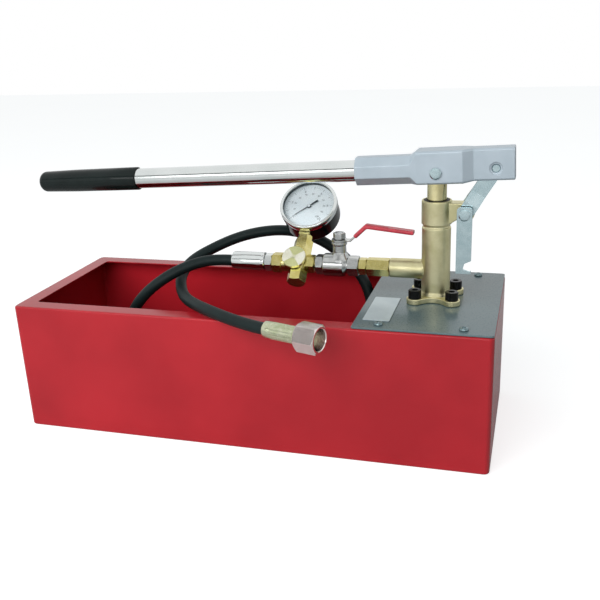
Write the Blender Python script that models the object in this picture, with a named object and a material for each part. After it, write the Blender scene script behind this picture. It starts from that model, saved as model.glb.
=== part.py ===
"""Hand pressure test pump: a steel water tank with a hand lever pump, valves, gauge and test hose.

Metres, +Z up. The origin lies under the middle of the tank's floor, +X runs along the tank towards the
pump and +Y goes away from the side that the gauge faces. The lever is at its lowest stop, with the
plunger home in its cylinder.
"""

import math

import bmesh
import bpy
import numpy as np
from mathutils import Matrix, Vector

# Sides of round pieces
WIDE_SIDES = 32
SIDES = 20
SMALL_SIDES = 12
BORE_SIDES = 14
SMOOTH_ANGLE = math.radians(35)

# Clearances shared by all pieces
GAP = 0.0003
OVERRUN = 0.002
EDGE = 0.0006

# Tank: folded sheet steel, open at the top, with a rim turned inwards
TANK_LENGTH = 0.500
TANK_WIDTH = 0.189
TANK_HEIGHT = 0.1404
TANK_SHEET = 0.0015
TANK_RIM = 0.018
TANK_CORNER = 0.005
TANK_FOLD = 0.002

# Cover plate on the tank's right end, with its screws and the bare rating plate
COVER_LENGTH = 0.132
COVER_SIDE_INSET = 0.0005
COVER_SHEET = 0.002
COVER_END_INSET = 0.0005
COVER_SCREW_INSET_X = 0.0245
COVER_SCREW_PITCH_X = 0.0795
COVER_SCREW_INSET_Y = 0.011
COVER_SCREW_RADIUS = 0.0022
COVER_SCREW_HEAD_RADIUS = 0.0045
COVER_SCREW_HEAD_HEIGHT = 0.0022
COVER_SCREW_LENGTH = 0.008
RATING_PLATE_LENGTH = 0.067
RATING_PLATE_WIDTH = 0.026
RATING_PLATE_SHEET = 0.0005
RATING_PLATE_INSET_X = 0.0205
RATING_PLATE_INSET_Y = 0.0525

# Pump body: one brass casting with flange, cylinder, collar, lug and outlet spigot
PUMP_INSET = 0.0675
FLANGE_THICKNESS = 0.0056
FLANGE_SCREW_PITCH = 0.0365
FLANGE_EAR_RADIUS = 0.0083
FLANGE_WAIST = 0.0172
FLANGE_EAR_ARC = math.radians(80)
CYLINDER_RADIUS = 0.0143
CYLINDER_FOOT_RADIUS = 0.0158
CYLINDER_FOOT_HEIGHT = 0.0014
COLLAR_RADIUS = 0.01485
COLLAR_LENGTH = 0.024
COLLAR_GROOVE_WIDTH = 0.003
COLLAR_GROOVE_DEPTH = 0.001
BODY_HEIGHT = 0.102
SUCTION_BOSS_RADIUS = 0.0105
SUCTION_BOSS_LENGTH = 0.015
PIPE_RISE = 0.0303
SPIGOT_RADIUS = 0.010
SPIGOT_REACH = 0.0463
LUG_REACH = 0.0285
LUG_DROP = 0.011
LUG_RADIUS = 0.0088
LUG_HALF_WIDTH = 0.008
LUG_ROOT_REACH = 0.008
LUG_ROOT_DROP = 0.0225

# Passages inside the pump body
CHAMBER_FLOOR_RISE = 0.023
SUCTION_BORE_RADIUS = 0.0083
SUCTION_BORE_DEPTH = 0.030
BALL_CAGE_RADIUS = 0.0056
BALL_CAGE_DEPTH = 0.035
SUCTION_PORT_RADIUS = 0.0032
SEAL_GROOVE_RADIUS = 0.0123
SEAL_GROOVE_DROP = 0.019
SEAL_WIDTH = 0.0037
WIPER_RADIUS = 0.0126
WIPER_WIDTH = 0.006
WIPER_STAND = 0.0003
OUTLET_PORT_RADIUS = 0.003
OUTLET_POCKET_RADIUS = 0.0073
OUTLET_POCKET_REACH = 0.019

# Flange screws and the backing plate that they pull against
FLANGE_SCREW_RADIUS = 0.004
FLANGE_SCREW_HEAD_RADIUS = 0.0065
FLANGE_SCREW_HEAD_HEIGHT = 0.008
FLANGE_SCREW_SOCKET = 0.006
FLANGE_SCREW_SOCKET_DEPTH = 0.004
FLANGE_SCREW_LENGTH = 0.0125
BACKING_PLATE_SIDE = 0.062
BACKING_PLATE_SHEET = 0.004

# Plunger and its pin
PLUNGER_RADIUS = 0.0095
PLUNGER_PIN_RISE = 0.028
PLUNGER_FOOT_RISE = 0.012
PLUNGER_PIN_RADIUS = 0.005
PLUNGER_PIN_HEAD_RADIUS = 0.0056
PIN_HEAD_HEIGHT = 0.0022
PIN_DOME_SHARE = 0.6

# Suction side: seat, ball, pipe and strainer
SEAT_HEIGHT = 0.0077
SEAT_BORE_RADIUS = 0.003
SEAT_MOUTH_RADIUS = 0.0042
SUCTION_SEAT_RISE = 0.009
SUCTION_BALL_RADIUS = 0.0045
SUCTION_PIPE_BORE_RADIUS = 0.006
SUCTION_PIPE_FOOT = 0.014
STRAINER_RADIUS = 0.0125
STRAINER_HEIGHT = 0.025
STRAINER_FOOT = 0.005
STRAINER_WALL = 0.0015
STRAINER_SLOT_WIDTH = 0.003
STRAINER_SLOT_HEIGHT = 0.014
STRAINER_SLOTS = 8

# Pressure side: seat, ball and spring in the spigot
PRESSURE_SEAT_REACH = 0.0247
PRESSURE_SEAT_HEIGHT = 0.0054
PRESSURE_SEAT_BORE_RADIUS = 0.0025
PRESSURE_SEAT_MOUTH_RADIUS = 0.0037
PRESSURE_BALL_RADIUS = 0.004
SPRING_RADIUS = 0.003
SPRING_WIRE_RADIUS = 0.00045
SPRING_LENGTH = 0.0054
SPRING_TURNS = 4
SPRING_POINTS_PER_TURN = 8

# Outlet adapter and its lock nut
ADAPTER_STUB_LENGTH = 0.0072
ADAPTER_HEX = 0.017
ADAPTER_HEX_LENGTH = 0.0233
ADAPTER_THREAD_RADIUS = 0.0054
ADAPTER_THREAD_LENGTH = 0.017
ADAPTER_BORE_RADIUS = 0.0022
LOCKNUT_HEX = 0.016
LOCKNUT_LENGTH = 0.008
LOCKNUT_SPACE = 0.0086

# Ball valve, measured from the middle of its ball along the pipe
VALVE_BODY_LEFT = 0.0167
VALVE_BARREL_RADIUS = 0.0122
VALVE_BARREL_RIGHT = 0.0045
VALVE_NECK_RADIUS = 0.0084
VALVE_HEX = 0.019
VALVE_HEX_LEFT = 0.009
VALVE_RIGHT = 0.0205
VALVE_BONNET_RADIUS = 0.008
VALVE_BONNET_RISE = 0.0257
VALVE_BONNET_LIP = 0.003
VALVE_CAVITY_RADIUS = 0.0075
VALVE_CAVITY_RIGHT = 0.0087
VALVE_END_STUB_RADIUS = 0.008
VALVE_END_STUB_REACH = 0.0087
VALVE_END_BORE_RADIUS = 0.004
VALVE_END_LENGTH = 0.008
VALVE_END_MOUTH_RADIUS = 0.0048
VALVE_BALL_RADIUS = 0.007
VALVE_BALL_BORE_RADIUS = 0.0042
VALVE_SLOT_WIDTH = 0.003
VALVE_SLOT_RISE = 0.0054
SEAT_RING_RADIUS = 0.0072
SEAT_RING_BORE_RADIUS = 0.0044
SEAT_RING_LIP_RADIUS = 0.0066
SEAT_RING_INNER = 0.0035
SEAT_RING_CONE = 0.0061
SEAT_RING_OUTER = 0.0084
STEM_RADIUS = 0.0033
STEM_FOOT_RISE = 0.0076
STEM_TOP_RISE = 0.035
STEM_TANG_LENGTH = 0.005
STEM_NUT_HEX = 0.0115
STEM_NUT_HEIGHT = 0.0065

# Valve handle: a flat bar bent up and over, in a dipped sleeve
HANDLE_SHEET = 0.0022
HANDLE_WIDTH = 0.0080
HANDLE_EYE_RADIUS = 0.0082
HANDLE_FLAT_REACH = 0.012
HANDLE_KNEE_REACH = 0.0286
HANDLE_KNEE_RISE = 0.0155
HANDLE_TIP_REACH = 0.0745
HANDLE_TIP_RISE = 0.0105
SLEEVE_START_REACH = 0.0165
SLEEVE_WIDTH = 0.0102
SLEEVE_THICKNESS = 0.0044
SLEEVE_END_LENGTH = 0.0025

# Manifold: a cross that leans back about the pipe, with the release valve and the gauge on it
MANIFOLD_LEAN = math.radians(47.2)
MANIFOLD_LENGTH = 0.0461
MANIFOLD_STAND = 0.0015
PORT_ALONG = 0.0288
KNOB_ASIDE = 0.0035
MANIFOLD_LEFT_HEX = 0.019
MANIFOLD_LEFT_HEX_LENGTH = 0.0109
MANIFOLD_CORE_RADIUS = 0.0098
MANIFOLD_CORE_OVERLAP = 0.0005
MANIFOLD_RIGHT_HEX = 0.017
MANIFOLD_RIGHT_HEX_LENGTH = 0.0112
MANIFOLD_STUB_RADIUS = 0.0045
MANIFOLD_STUB_LENGTH = 0.0088
MANIFOLD_BORE_RADIUS = 0.0034
MANIFOLD_THREAD_RADIUS = 0.0047
MANIFOLD_THREAD_DEPTH = 0.0155
NECK_HEX = 0.018
NECK_LENGTH = 0.027
PLUG_HEX = 0.018
PLUG_SHOULDER = 0.0102
PLUG_END = 0.0238
PLUG_STUB_LENGTH = 0.007
KNOB_BOSS_RADIUS = 0.008
KNOB_BOSS_LENGTH = 0.0099
KNOB_RADIUS = 0.0124
KNOB_BACK = 0.0102
KNOB_FRONT = 0.0143
KNOB_WEB = 0.0017
SPINDLE_RADIUS = 0.0022
SPINDLE_TIP = 0.0018

# Gauge, measured along its own port and along the way that its dial faces
GAUGE_REACH = 0.067
GAUGE_SOCKET_HEX = 0.014
GAUGE_SOCKET_HEX_LENGTH = 0.0065
GAUGE_STEM_WIDTH = 0.012
GAUGE_CASE_RADIUS = 0.0307
GAUGE_CASE_WALL = 0.0015
GAUGE_CASE_BACK = 0.0148
GAUGE_CASE_FRONT = 0.0102
GAUGE_CASE_EDGE = 0.002
GAUGE_BEZEL_RADIUS = 0.0315
GAUGE_BEZEL_BACK = 0.0064
GAUGE_BEZEL_FRONT = 0.0138
GAUGE_BEZEL_LIP = 0.0013
GAUGE_WINDOW_RADIUS = 0.0280
GAUGE_GLASS_THICKNESS = 0.002
GAUGE_DIAL_RISE = 0.0065
GAUGE_DIAL_SHEET = 0.0008
POINTER_LENGTH = 0.0185
POINTER_TAIL = 0.0115
POINTER_HUB_RADIUS = 0.0024
POINTER_HUB_HEIGHT = 0.0018
POINTER_BLADE_WIDTH = 0.0012
POINTER_BLADE_SHEET = 0.0005
POINTER_SPINDLE_RADIUS = 0.0008
POINTER_SPINDLE_LENGTH = 0.0105
POINTER_REST = math.radians(220)
GAUGE_TUBE_BEND_RADIUS = 0.019
GAUGE_TUBE_RADIUS = 0.0022
GAUGE_TUBE_DEPTH = 0.004
GAUGE_TUBE_START = math.radians(-85)
GAUGE_TUBE_END = math.radians(150)
GAUGE_TUBE_POINTS = 14

# Hose, with the fittings at its two ends
HOSE_NUT_HEX = 0.017
HOSE_NUT_LENGTH = 0.008
HOSE_NUT_THREAD_LENGTH = 0.0095
HOSE_TAIL_RADIUS = 0.0045
HOSE_TAIL_LENGTH = 0.012
HOSE_FERRULE_RADIUS = 0.010
HOSE_FERRULE_LENGTH = 0.0365
HOSE_FERRULE_WAIST = 0.0008
HOSE_RADIUS = 0.006
HOSE_BORE_RADIUS = 0.003
HOSE_POINT_SPACING = 0.026
HOSE_SPAN_STEPS = 24
HOSE_NEIGHBOUR_DIAMETERS = 5
HOSE_END_TURN = math.radians(-17)
END_FERRULE_RADIUS = 0.0082
END_FERRULE_LENGTH = 0.0347
END_FERRULE_STEP = 0.0009
NIPPLE_COLLAR_RADIUS = 0.0068
NIPPLE_COLLAR_LENGTH = 0.0015
NIPPLE_NECK_RADIUS = 0.0055
NIPPLE_HEAD_RADIUS = 0.0092
NIPPLE_HEAD_LENGTH = 0.006
SWIVEL_NUT_HEX = 0.025
SWIVEL_NUT_LENGTH = 0.0222
SWIVEL_NUT_WALL = 0.0058
SWIVEL_NUT_BORE_RADIUS = 0.0103
SWIVEL_NUT_PLAY = 0.0009

# The route that was laid for the hose, from the ferrule on the manifold to the loose end on the rim, with
# X measured from the pump's axis
HOSE_ROUTE = [
    (-0.2170, 0.0000, 0.1733),
    (-0.2420, -0.0035, 0.1730),
    (-0.2720, -0.0195, 0.1660),
    (-0.3055, -0.0310, 0.1445),
    (-0.3335, -0.0275, 0.1080),
    (-0.3370, -0.0180, 0.0600),
    (-0.3105, -0.0030, 0.0235),
    (-0.2610, 0.0125, 0.0090),
    (-0.1990, 0.0260, 0.0080),
    (-0.1435, 0.0415, 0.0150),
    (-0.1000, 0.0505, 0.0455),
    (-0.0800, 0.0580, 0.0900),
    (-0.0815, 0.0630, 0.1210),
    (-0.0950, 0.0675, 0.1450),
    (-0.1155, 0.0740, 0.1630),
    (-0.1430, 0.0780, 0.1785),
    (-0.1730, 0.0725, 0.1885),
    (-0.2050, 0.0610, 0.1895),
    (-0.2350, 0.0525, 0.1825),
    (-0.2580, 0.0385, 0.1735),
    (-0.2750, 0.0140, 0.1635),
    (-0.2765, -0.0080, 0.1545),
    (-0.2680, -0.0290, 0.1475),
    (-0.2520, -0.0530, 0.1460),
    (-0.2210, -0.0825, 0.1478),
    (-0.1800, -0.1070, 0.1470),
    (-0.1415, -0.1225, 0.1463),
]

# Lever: a casting that carries the tube, measured from the plunger pin in the lever's own tilt
LEVER_TILT = math.radians(2.69)
LEVER_AXIS_RISE = 0.0029
CASTING_LEFT = 0.0795
CASTING_NECK_RIGHT = 0.025
CASTING_NECK_HALF = 0.01375
CASTING_NECK_FACET = 0.0080
CASTING_FORK_LEFT = 0.0185
CASTING_FORK_RIGHT = 0.0252
CASTING_FORK_HALF_WIDTH = 0.0145
CASTING_FORK_BOTTOM = 0.0108
CASTING_FORK_TOP = 0.0212
CASTING_TIP_LEFT = 0.0350
CASTING_TIP_RIGHT = 0.0732
CASTING_TIP_HALF_WIDTH = 0.0095
CASTING_TIP_BOTTOM = 0.0095
CASTING_EDGE = 0.0017
CASTING_ROOF = 0.005
CASTING_CAVITY_LEFT = 0.0115
CASTING_CAVITY_STEP = 0.0238
CASTING_CAVITY_NARROW = 0.0300
CASTING_CAVITY_HALF_WIDTH = 0.0105
CASTING_SLOT_HALF_WIDTH = 0.006
CASTING_TIP_WALL = 0.0042
CASTING_SOCKET_DEPTH = 0.0435
LEVER_TUBE_RADIUS = 0.01065
LEVER_TUBE_WALL = 0.002
LEVER_TUBE_LENGTH = 0.381
GRIP_OVERHANG = 0.0236
GRIP_LENGTH = 0.1206
GRIP_RADIUS = 0.0122
GRIP_TIP_RADIUS = 0.0112
GRIP_TIP_ROUNDING = 0.007

# Link plates between the lever's tip and the lug
LINK_LENGTH = 0.0512
LINK_ANGLE = math.radians(58.15)
LINK_SHEET = 0.003
LINK_FOOT_RADIUS = 0.0075
LINK_EYE_RADIUS = 0.01025
LINK_EYE_HOLE_RADIUS = 0.0069
LINK_FOOT_SPREAD = 0.0096
LINK_EYE_SPREAD = 0.0016
LINK_JOGGLE_START = 0.0112
LINK_JOGGLE_END = 0.0211
LINK_ARC_STEPS = 7
LINK_PIN_RADIUS = 0.004
LINK_PIN_RECESS_RADIUS = 0.006
LINK_PIN_RECESS_DEPTH = 0.0012
PIVOT_PIN_RADIUS = 0.004
PIVOT_PIN_HEAD_RADIUS = 0.0055

# Transport hook, hanging from the pivot pin in front of the link
HOOK_SHEET = 0.003
HOOK_HALF_WIDTH = 0.0073
HOOK_CORNER = 0.0025
HOOK_LENGTH = 0.0584
HOOK_MOUTH_TOP = 0.0452
HOOK_THROAT_TOP = 0.0482
HOOK_THROAT_BOTTOM = 0.0542
HOOK_LIP_TOP = 0.0562
HOOK_LIP_TIP = 0.0012
HOOK_THROAT_REACH = 0.0010
HOOK_THROAT_BACK = -0.0004

# Heights and places that follow from the sizes above
COVER_BASE = TANK_HEIGHT + GAP
COVER_TOP = COVER_BASE + COVER_SHEET
COVER_RIGHT = TANK_LENGTH / 2 - COVER_END_INSET
COVER_LEFT = COVER_RIGHT - COVER_LENGTH
COVER_WIDTH = TANK_WIDTH - 2 * COVER_SIDE_INSET
PUMP_X = COVER_LEFT + PUMP_INSET
SPIGOT_END_X = PUMP_X - SPIGOT_REACH
VALVE_X = SPIGOT_END_X - GAP - ADAPTER_HEX_LENGTH - LOCKNUT_SPACE - VALVE_RIGHT
MANIFOLD_RIGHT = VALVE_X - VALVE_BODY_LEFT - GAP - VALVE_END_LENGTH - MANIFOLD_STAND
MANIFOLD_RIGHT_HEX_LEFT = MANIFOLD_RIGHT - MANIFOLD_RIGHT_HEX_LENGTH
MANIFOLD_LEFT = MANIFOLD_RIGHT - MANIFOLD_LENGTH
PORT_X = MANIFOLD_LEFT + PORT_ALONG
KNOB_X = PORT_X - KNOB_ASIDE
HOSE_RUN = [Vector((PUMP_X + x, y, z)) for x, y, z in HOSE_ROUTE]
BODY_BASE = COVER_TOP + GAP
BODY_TOP = BODY_BASE + BODY_HEIGHT
FLANGE_TOP = BODY_BASE + FLANGE_THICKNESS
PIPE_Z = BODY_BASE + PIPE_RISE
PLUNGER_BORE_RADIUS = PLUNGER_RADIUS + GAP
PLUNGER_PIN_AT = Vector((PUMP_X, 0, BODY_TOP + PLUNGER_PIN_RISE))
LUG_AT = Vector((PUMP_X + LUG_REACH, 0, BODY_TOP - LUG_DROP))
LINK_ALONG = Vector((math.cos(LINK_ANGLE), 0, math.sin(LINK_ANGLE)))
LINK_PIN_AT = LUG_AT + LINK_LENGTH * LINK_ALONG
HOOK_BACK_Y = COLLAR_RADIUS + GAP
HOSE_END_ALONG = Vector((math.cos(HOSE_END_TURN), math.sin(HOSE_END_TURN), 0))

# Ways that pieces lie: each turns a piece's own Z axis, or its own plane, into the model's
SIDE_VIEW = Matrix.Rotation(math.pi / 2, 4, "X")
LEVER_FRAME = Matrix.Translation(PLUNGER_PIN_AT) @ Matrix.Rotation(-LEVER_TILT, 4, "Y")
LEAN = Matrix.Rotation(math.pi / 2 - MANIFOLD_LEAN, 4, "X")
PORT_FRAME = Matrix.Translation((PORT_X, 0, PIPE_Z)) @ LEAN
KNOB_FRAME = Matrix.Translation((KNOB_X, 0, PIPE_Z)) @ LEAN
GAUGE_FRAME = PORT_FRAME @ Matrix.Translation((0, GAUGE_REACH, 0))

# Finishes: base colour, roughness and metallic value
FINISHES = {
    "red_enamel": ((0.43, 0.031, 0.038), 0.38, 0.0),
    "grey_enamel": ((0.10, 0.17, 0.18), 0.45, 0.0),
    "cast_brass": ((0.42, 0.40, 0.22), 0.45, 1.0),
    "turned_brass": ((0.60, 0.47, 0.16), 0.25, 1.0),
    "nickel": ((0.60, 0.63, 0.62), 0.25, 1.0),
    "zinc": ((0.42, 0.50, 0.50), 0.4, 1.0),
    "yellow_zinc": ((0.58, 0.60, 0.40), 0.3, 1.0),
    "painted_casting": ((0.50, 0.58, 0.63), 0.45, 0.0),
    "chrome": ((0.75, 0.77, 0.77), 0.12, 1.0),
    "black_oxide": ((0.02, 0.025, 0.025), 0.4, 0.6),
    "black_rubber": ((0.03, 0.05, 0.05), 0.6, 0.0),
    "black_plastic": ((0.012, 0.018, 0.02), 0.3, 0.0),
    "red_vinyl": ((0.55, 0.05, 0.08), 0.4, 0.0),
    "white_dial": ((0.80, 0.84, 0.84), 0.5, 0.0),
    "window": ((0.9, 0.95, 0.95), 0.05, 0.0),
    "sealing": ((0.75, 0.75, 0.70), 0.5, 0.0),
    "steel": ((0.50, 0.50, 0.50), 0.2, 1.0),
    "label": ((0.45, 0.55, 0.57), 0.5, 0.0),
}


def clear_scene():
    """Remove whatever the open file holds, so that only the pump is left."""
    for item in list(bpy.data.objects):
        bpy.data.objects.remove(item, do_unlink=True)


def finish_of(name, slot):
    """The piece's own material, with the values of its finish."""
    colour, roughness, metallic = FINISHES[slot]
    made = bpy.data.materials.new(f"{name}_{slot}")
    made.use_nodes = True
    shader = made.node_tree.nodes["Principled BSDF"]
    shader.inputs["Base Color"].default_value = (*colour, 1)
    shader.inputs["Roughness"].default_value = roughness
    shader.inputs["Metallic"].default_value = metallic
    return made


def add_object(name, bm, place):
    """Turn the mesh into an object that lies where the matrix says."""
    bmesh.ops.recalc_face_normals(bm, faces=bm.faces)
    mesh = bpy.data.meshes.new(name)
    bm.to_mesh(mesh)
    bm.free()
    mesh.set_sharp_from_angle(angle=SMOOTH_ANGLE)
    made = bpy.data.objects.new(name, mesh)
    bpy.context.collection.objects.link(made)
    made.matrix_world = place
    return made


def add_piece(name, slot, bm, place, joint=None):
    """A sub-part of the pump, parented to the empty on its joint's axis if it moves."""
    made = add_object(name, bm, place)
    made.data.materials.append(finish_of(name, slot))
    if joint:
        carry(made, joint)
    return made


def carry(item, joint):
    """Parent the item to the joint's empty and leave it where it is."""
    bpy.context.view_layer.update()
    item.parent = joint
    item.matrix_parent_inverse = joint.matrix_world.inverted()


def add_tool(name, bm, place):
    """A hidden shape that a Boolean adds or takes away."""
    made = add_object(name, bm, place)
    made.hide_render = True
    made.display_type = "WIRE"
    return made


def combine(piece, bm, place, operation):
    """Give the piece a Boolean with the shape, and hide the shape."""
    count = len(piece.modifiers) + 1
    tool = add_tool(f"{piece.name}_tool_{count}", bm, place)
    if piece.parent:
        carry(tool, piece.parent)
    modifier = piece.modifiers.new(tool.name, "BOOLEAN")
    modifier.operation = operation
    modifier.object = tool


def cut(piece, bm, place):
    combine(piece, bm, place, "DIFFERENCE")


def fuse(piece, bm, place):
    combine(piece, bm, place, "UNION")


def add_joint(name, at, parent=None):
    """An empty on a joint's axis, for the pieces that the joint carries."""
    made = bpy.data.objects.new(name, None)
    made.empty_display_size = PLUNGER_RADIUS
    bpy.context.collection.objects.link(made)
    made.matrix_world = Matrix.Translation(at)
    if parent:
        carry(made, parent)
    return made


def facing(at, along):
    """A frame at the point whose Z axis runs along the direction."""
    return Matrix.Translation(at) @ Vector(along).to_track_quat("Z", "Y").to_matrix().to_4x4()


def skin(rings, ends):
    """Faces between rings of as many points each, with the two ends closed or joined to each other."""
    bm = bmesh.new()
    loops = [[bm.verts.new(point) for point in ring] for ring in rings]
    pairs = list(zip(loops, loops[1:]))
    if ends == "joined":
        pairs.append((loops[-1], loops[0]))
    else:
        bm.faces.new(loops[0])
        bm.faces.new(loops[-1])
    for first, second in pairs:
        for i, point in enumerate(first):
            j = (i + 1) % len(first)
            bm.faces.new((point, first[j], second[j], second[i]))
    return bm


def turned(profile, sides=SIDES):
    """A shape turned about its own Z axis from points of radius and height.

    Where the profile starts and ends on the axis the shape is solid, and otherwise it is a ring.
    """
    bm = bmesh.new()
    angles = [2 * math.pi * i / sides for i in range(sides)]
    loops = []
    for radius, height in profile:
        if radius == 0:
            loops.append([bm.verts.new((0, 0, height))])
        else:
            loops.append([bm.verts.new((radius * math.cos(a), radius * math.sin(a),
                                        height)) for a in angles])
    pairs = list(zip(loops, loops[1:]))
    if len(loops[0]) > 1:
        pairs.append((loops[-1], loops[0]))
    for first, second in pairs:
        for i in range(sides):
            j = (i + 1) % sides
            corners = [first[i % len(first)], first[j % len(first)], second[j % len(second)],
                       second[i % len(second)]]
            face = bm.faces.new(dict.fromkeys(corners))
            face.smooth = first[0].co.z != second[0].co.z
    return bm


def rod(radius, low, high, sides=SIDES):
    """A plain round rod along its own Z axis, which also serves as a drill."""
    return turned([(0, low), (radius, low), (radius, high), (0, high)], sides)


def soft_rod(radius, low, high, sides=SIDES):
    """A round rod with its two rims chamfered."""
    outer = [(radius - EDGE, low), (radius, low + EDGE), (radius, high - EDGE), (radius - EDGE, high)]
    return turned([(0, low), *outer, (0, high)], sides)


def tube(inner, outer, low, high, sides=SIDES):
    """A plain tube along its own Z axis."""
    return turned([(inner, low), (outer, low), (outer, high), (inner, high)], sides)


def ball(radius, sides=SMALL_SIDES):
    """A sphere about its own centre."""
    steps = sides // 2
    rings = [(radius * math.sin(math.pi * i / steps),
              -radius * math.cos(math.pi * i / steps)) for i in range(steps)]
    return turned([(0, -radius), *rings[1:], (0, radius)], sides)


def hexagon(across, low, high):
    """A hexagonal bar along its own Z axis, with its two faces chamfered."""
    def ring(height, size):
        corner = size / math.sqrt(3)
        angles = [math.pi / 3 * i for i in range(6)]
        return [(corner * math.cos(a), corner * math.sin(a), height) for a in angles]

    small = across - 2 * EDGE
    rings = [ring(low, small), ring(low + EDGE, across), ring(high - EDGE, across), ring(high, small)]
    return skin(rings, "closed")


def prism(outline, low, high):
    """An outline in its own XY plane, drawn up from low to high."""
    return skin([[(x, y, height) for x, y in outline] for height in (low, high)], "closed")


def block(size_x, size_y, low, high):
    """A block about its own Z axis."""
    x = size_x / 2
    y = size_y / 2
    return prism([(-x, -y), (x, -y), (x, y), (-x, y)], low, high)


def arc(centre, radius, start, end, steps):
    """Points on an arc from one angle to another."""
    angles = [start + (end - start) * i / steps for i in range(steps + 1)]
    return [(centre[0] + radius * math.cos(a), centre[1] + radius * math.sin(a)) for a in angles]


def rounded_rectangle(length, width, radius, steps=4):
    """The outline of a rectangle with round corners, about its own centre."""
    x = length / 2 - radius
    y = width / 2 - radius
    points = []
    for turn, corner in enumerate([(x, y), (-x, y), (-x, -y), (x, -y)]):
        points += arc(corner, radius, turn * math.pi / 2, (turn + 1) * math.pi / 2, steps)
    return points


def cover_screw_places():
    for side in (-1, 1):
        for column in (0, 1):
            x = COVER_LEFT + COVER_SCREW_INSET_X + column * COVER_SCREW_PITCH_X
            yield Vector((x, side * (COVER_WIDTH / 2 - COVER_SCREW_INSET_Y), COVER_TOP))


def flange_screw_places():
    for side in (-1, 1):
        for end in (-1, 1):
            x = PUMP_X + end * FLANGE_SCREW_PITCH / 2
            yield Vector((x, side * FLANGE_SCREW_PITCH / 2, FLANGE_TOP))


def build_tank():
    """Floor, walls and turned-in rim of one sheet, as a stack of rounded rectangles."""
    half_fold = TANK_FOLD * (1 - math.sqrt(0.5))
    stack = [
        (TANK_SHEET, TANK_SHEET),
        (TANK_SHEET, TANK_HEIGHT - TANK_SHEET),
        (TANK_RIM, TANK_HEIGHT - TANK_SHEET),
        (TANK_RIM, TANK_HEIGHT),
        (TANK_FOLD, TANK_HEIGHT),
        (half_fold, TANK_HEIGHT - half_fold),
        (0, TANK_HEIGHT - TANK_FOLD),
        (0, TANK_FOLD),
        (half_fold, half_fold),
        (TANK_FOLD, 0),
    ]
    rings = []
    for inset, height in stack:
        radius = TANK_CORNER - min(inset, TANK_FOLD)
        outline = rounded_rectangle(TANK_LENGTH - 2 * inset, TANK_WIDTH - 2 * inset, radius)
        rings.append([(x, y, height) for x, y in outline])
    tank = add_piece("tank", "red_enamel", skin(rings, "closed"), Matrix())
    for place in cover_screw_places():
        hole = rod(COVER_SCREW_RADIUS + GAP, -COVER_SCREW_LENGTH, OVERRUN, SMALL_SIDES)
        cut(tank, hole, Matrix.Translation(place))


def build_cover():
    """The painted plate that carries the pump, screwed to the tank's rim."""
    middle = Vector((COVER_LEFT + COVER_LENGTH / 2, 0, COVER_BASE))
    cover = add_piece("cover_plate", "grey_enamel", block(COVER_LENGTH, COVER_WIDTH, 0, COVER_SHEET),
                      Matrix.Translation(middle))
    boss_hole = rod(SUCTION_BOSS_RADIUS + GAP, -OVERRUN, COVER_SHEET + OVERRUN)
    cut(cover, boss_hole, Matrix.Translation((PUMP_X, 0, COVER_BASE)))
    for place in flange_screw_places():
        hole = rod(FLANGE_SCREW_RADIUS + GAP, -FLANGE_SCREW_LENGTH, 0, SMALL_SIDES)
        cut(cover, hole, Matrix.Translation(place))
    for number, place in enumerate(cover_screw_places(), 1):
        hole = rod(COVER_SCREW_RADIUS + GAP, -COVER_SHEET - OVERRUN, OVERRUN, SMALL_SIDES)
        cut(cover, hole, Matrix.Translation(place))
        build_cover_screw(f"cover_screw_{number}", place)
    label = block(RATING_PLATE_WIDTH, RATING_PLATE_LENGTH, GAP, GAP + RATING_PLATE_SHEET)
    add_piece("rating_plate", "label", label,
              Matrix.Translation((COVER_LEFT + RATING_PLATE_INSET_X, RATING_PLATE_INSET_Y - COVER_WIDTH / 2,
                                  COVER_TOP)))


def build_cover_screw(name, place):
    """A low domed screw that holds the cover to the rim."""
    top = GAP + COVER_SCREW_HEAD_HEIGHT
    profile = [
        (0, -COVER_SCREW_LENGTH),
        (COVER_SCREW_RADIUS, -COVER_SCREW_LENGTH),
        (COVER_SCREW_RADIUS, GAP),
        (COVER_SCREW_HEAD_RADIUS, GAP),
        (COVER_SCREW_HEAD_RADIUS, GAP + COVER_SCREW_HEAD_HEIGHT / 3),
        (COVER_SCREW_HEAD_RADIUS / 2, top),
        (0, top),
    ]
    add_piece(name, "zinc", turned(profile, SMALL_SIDES), Matrix.Translation(place))


def flange_outline():
    """A square flange with a round ear at each screw and a waist along each side."""
    half = FLANGE_SCREW_PITCH / 2
    points = []
    for turn in range(4):
        spin = Matrix.Rotation(turn * math.pi / 2, 2)
        ear = arc((half, half), FLANGE_EAR_RADIUS, math.pi / 4 - FLANGE_EAR_ARC,
                  math.pi / 4 + FLANGE_EAR_ARC, 8)
        end_x, end_y = ear[-1]
        dip = end_y - FLANGE_WAIST
        waist = []
        for share in (0.75, 0.45, 0.15, -0.15, -0.45, -0.75):
            waist.append((end_x * share, FLANGE_WAIST + dip * share * share))
        points += [spin @ Vector(point) for point in ear + waist]
    return points


def lug_outline():
    """The arm from the collar out round the pivot pin, seen from the side, about the pump's axis."""
    centre = (LUG_REACH, LUG_AT.z)
    top = math.pi / 2
    foot = LUG_AT.z - LUG_ROOT_DROP / 2
    return [
        (LUG_ROOT_REACH, foot),
        (COLLAR_RADIUS - EDGE, foot),
        *arc(centre, LUG_RADIUS, -top - LUG_ROOT_DROP / LUG_REACH, top, 10),
        (LUG_ROOT_REACH, LUG_AT.z + LUG_RADIUS),
    ]


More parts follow.
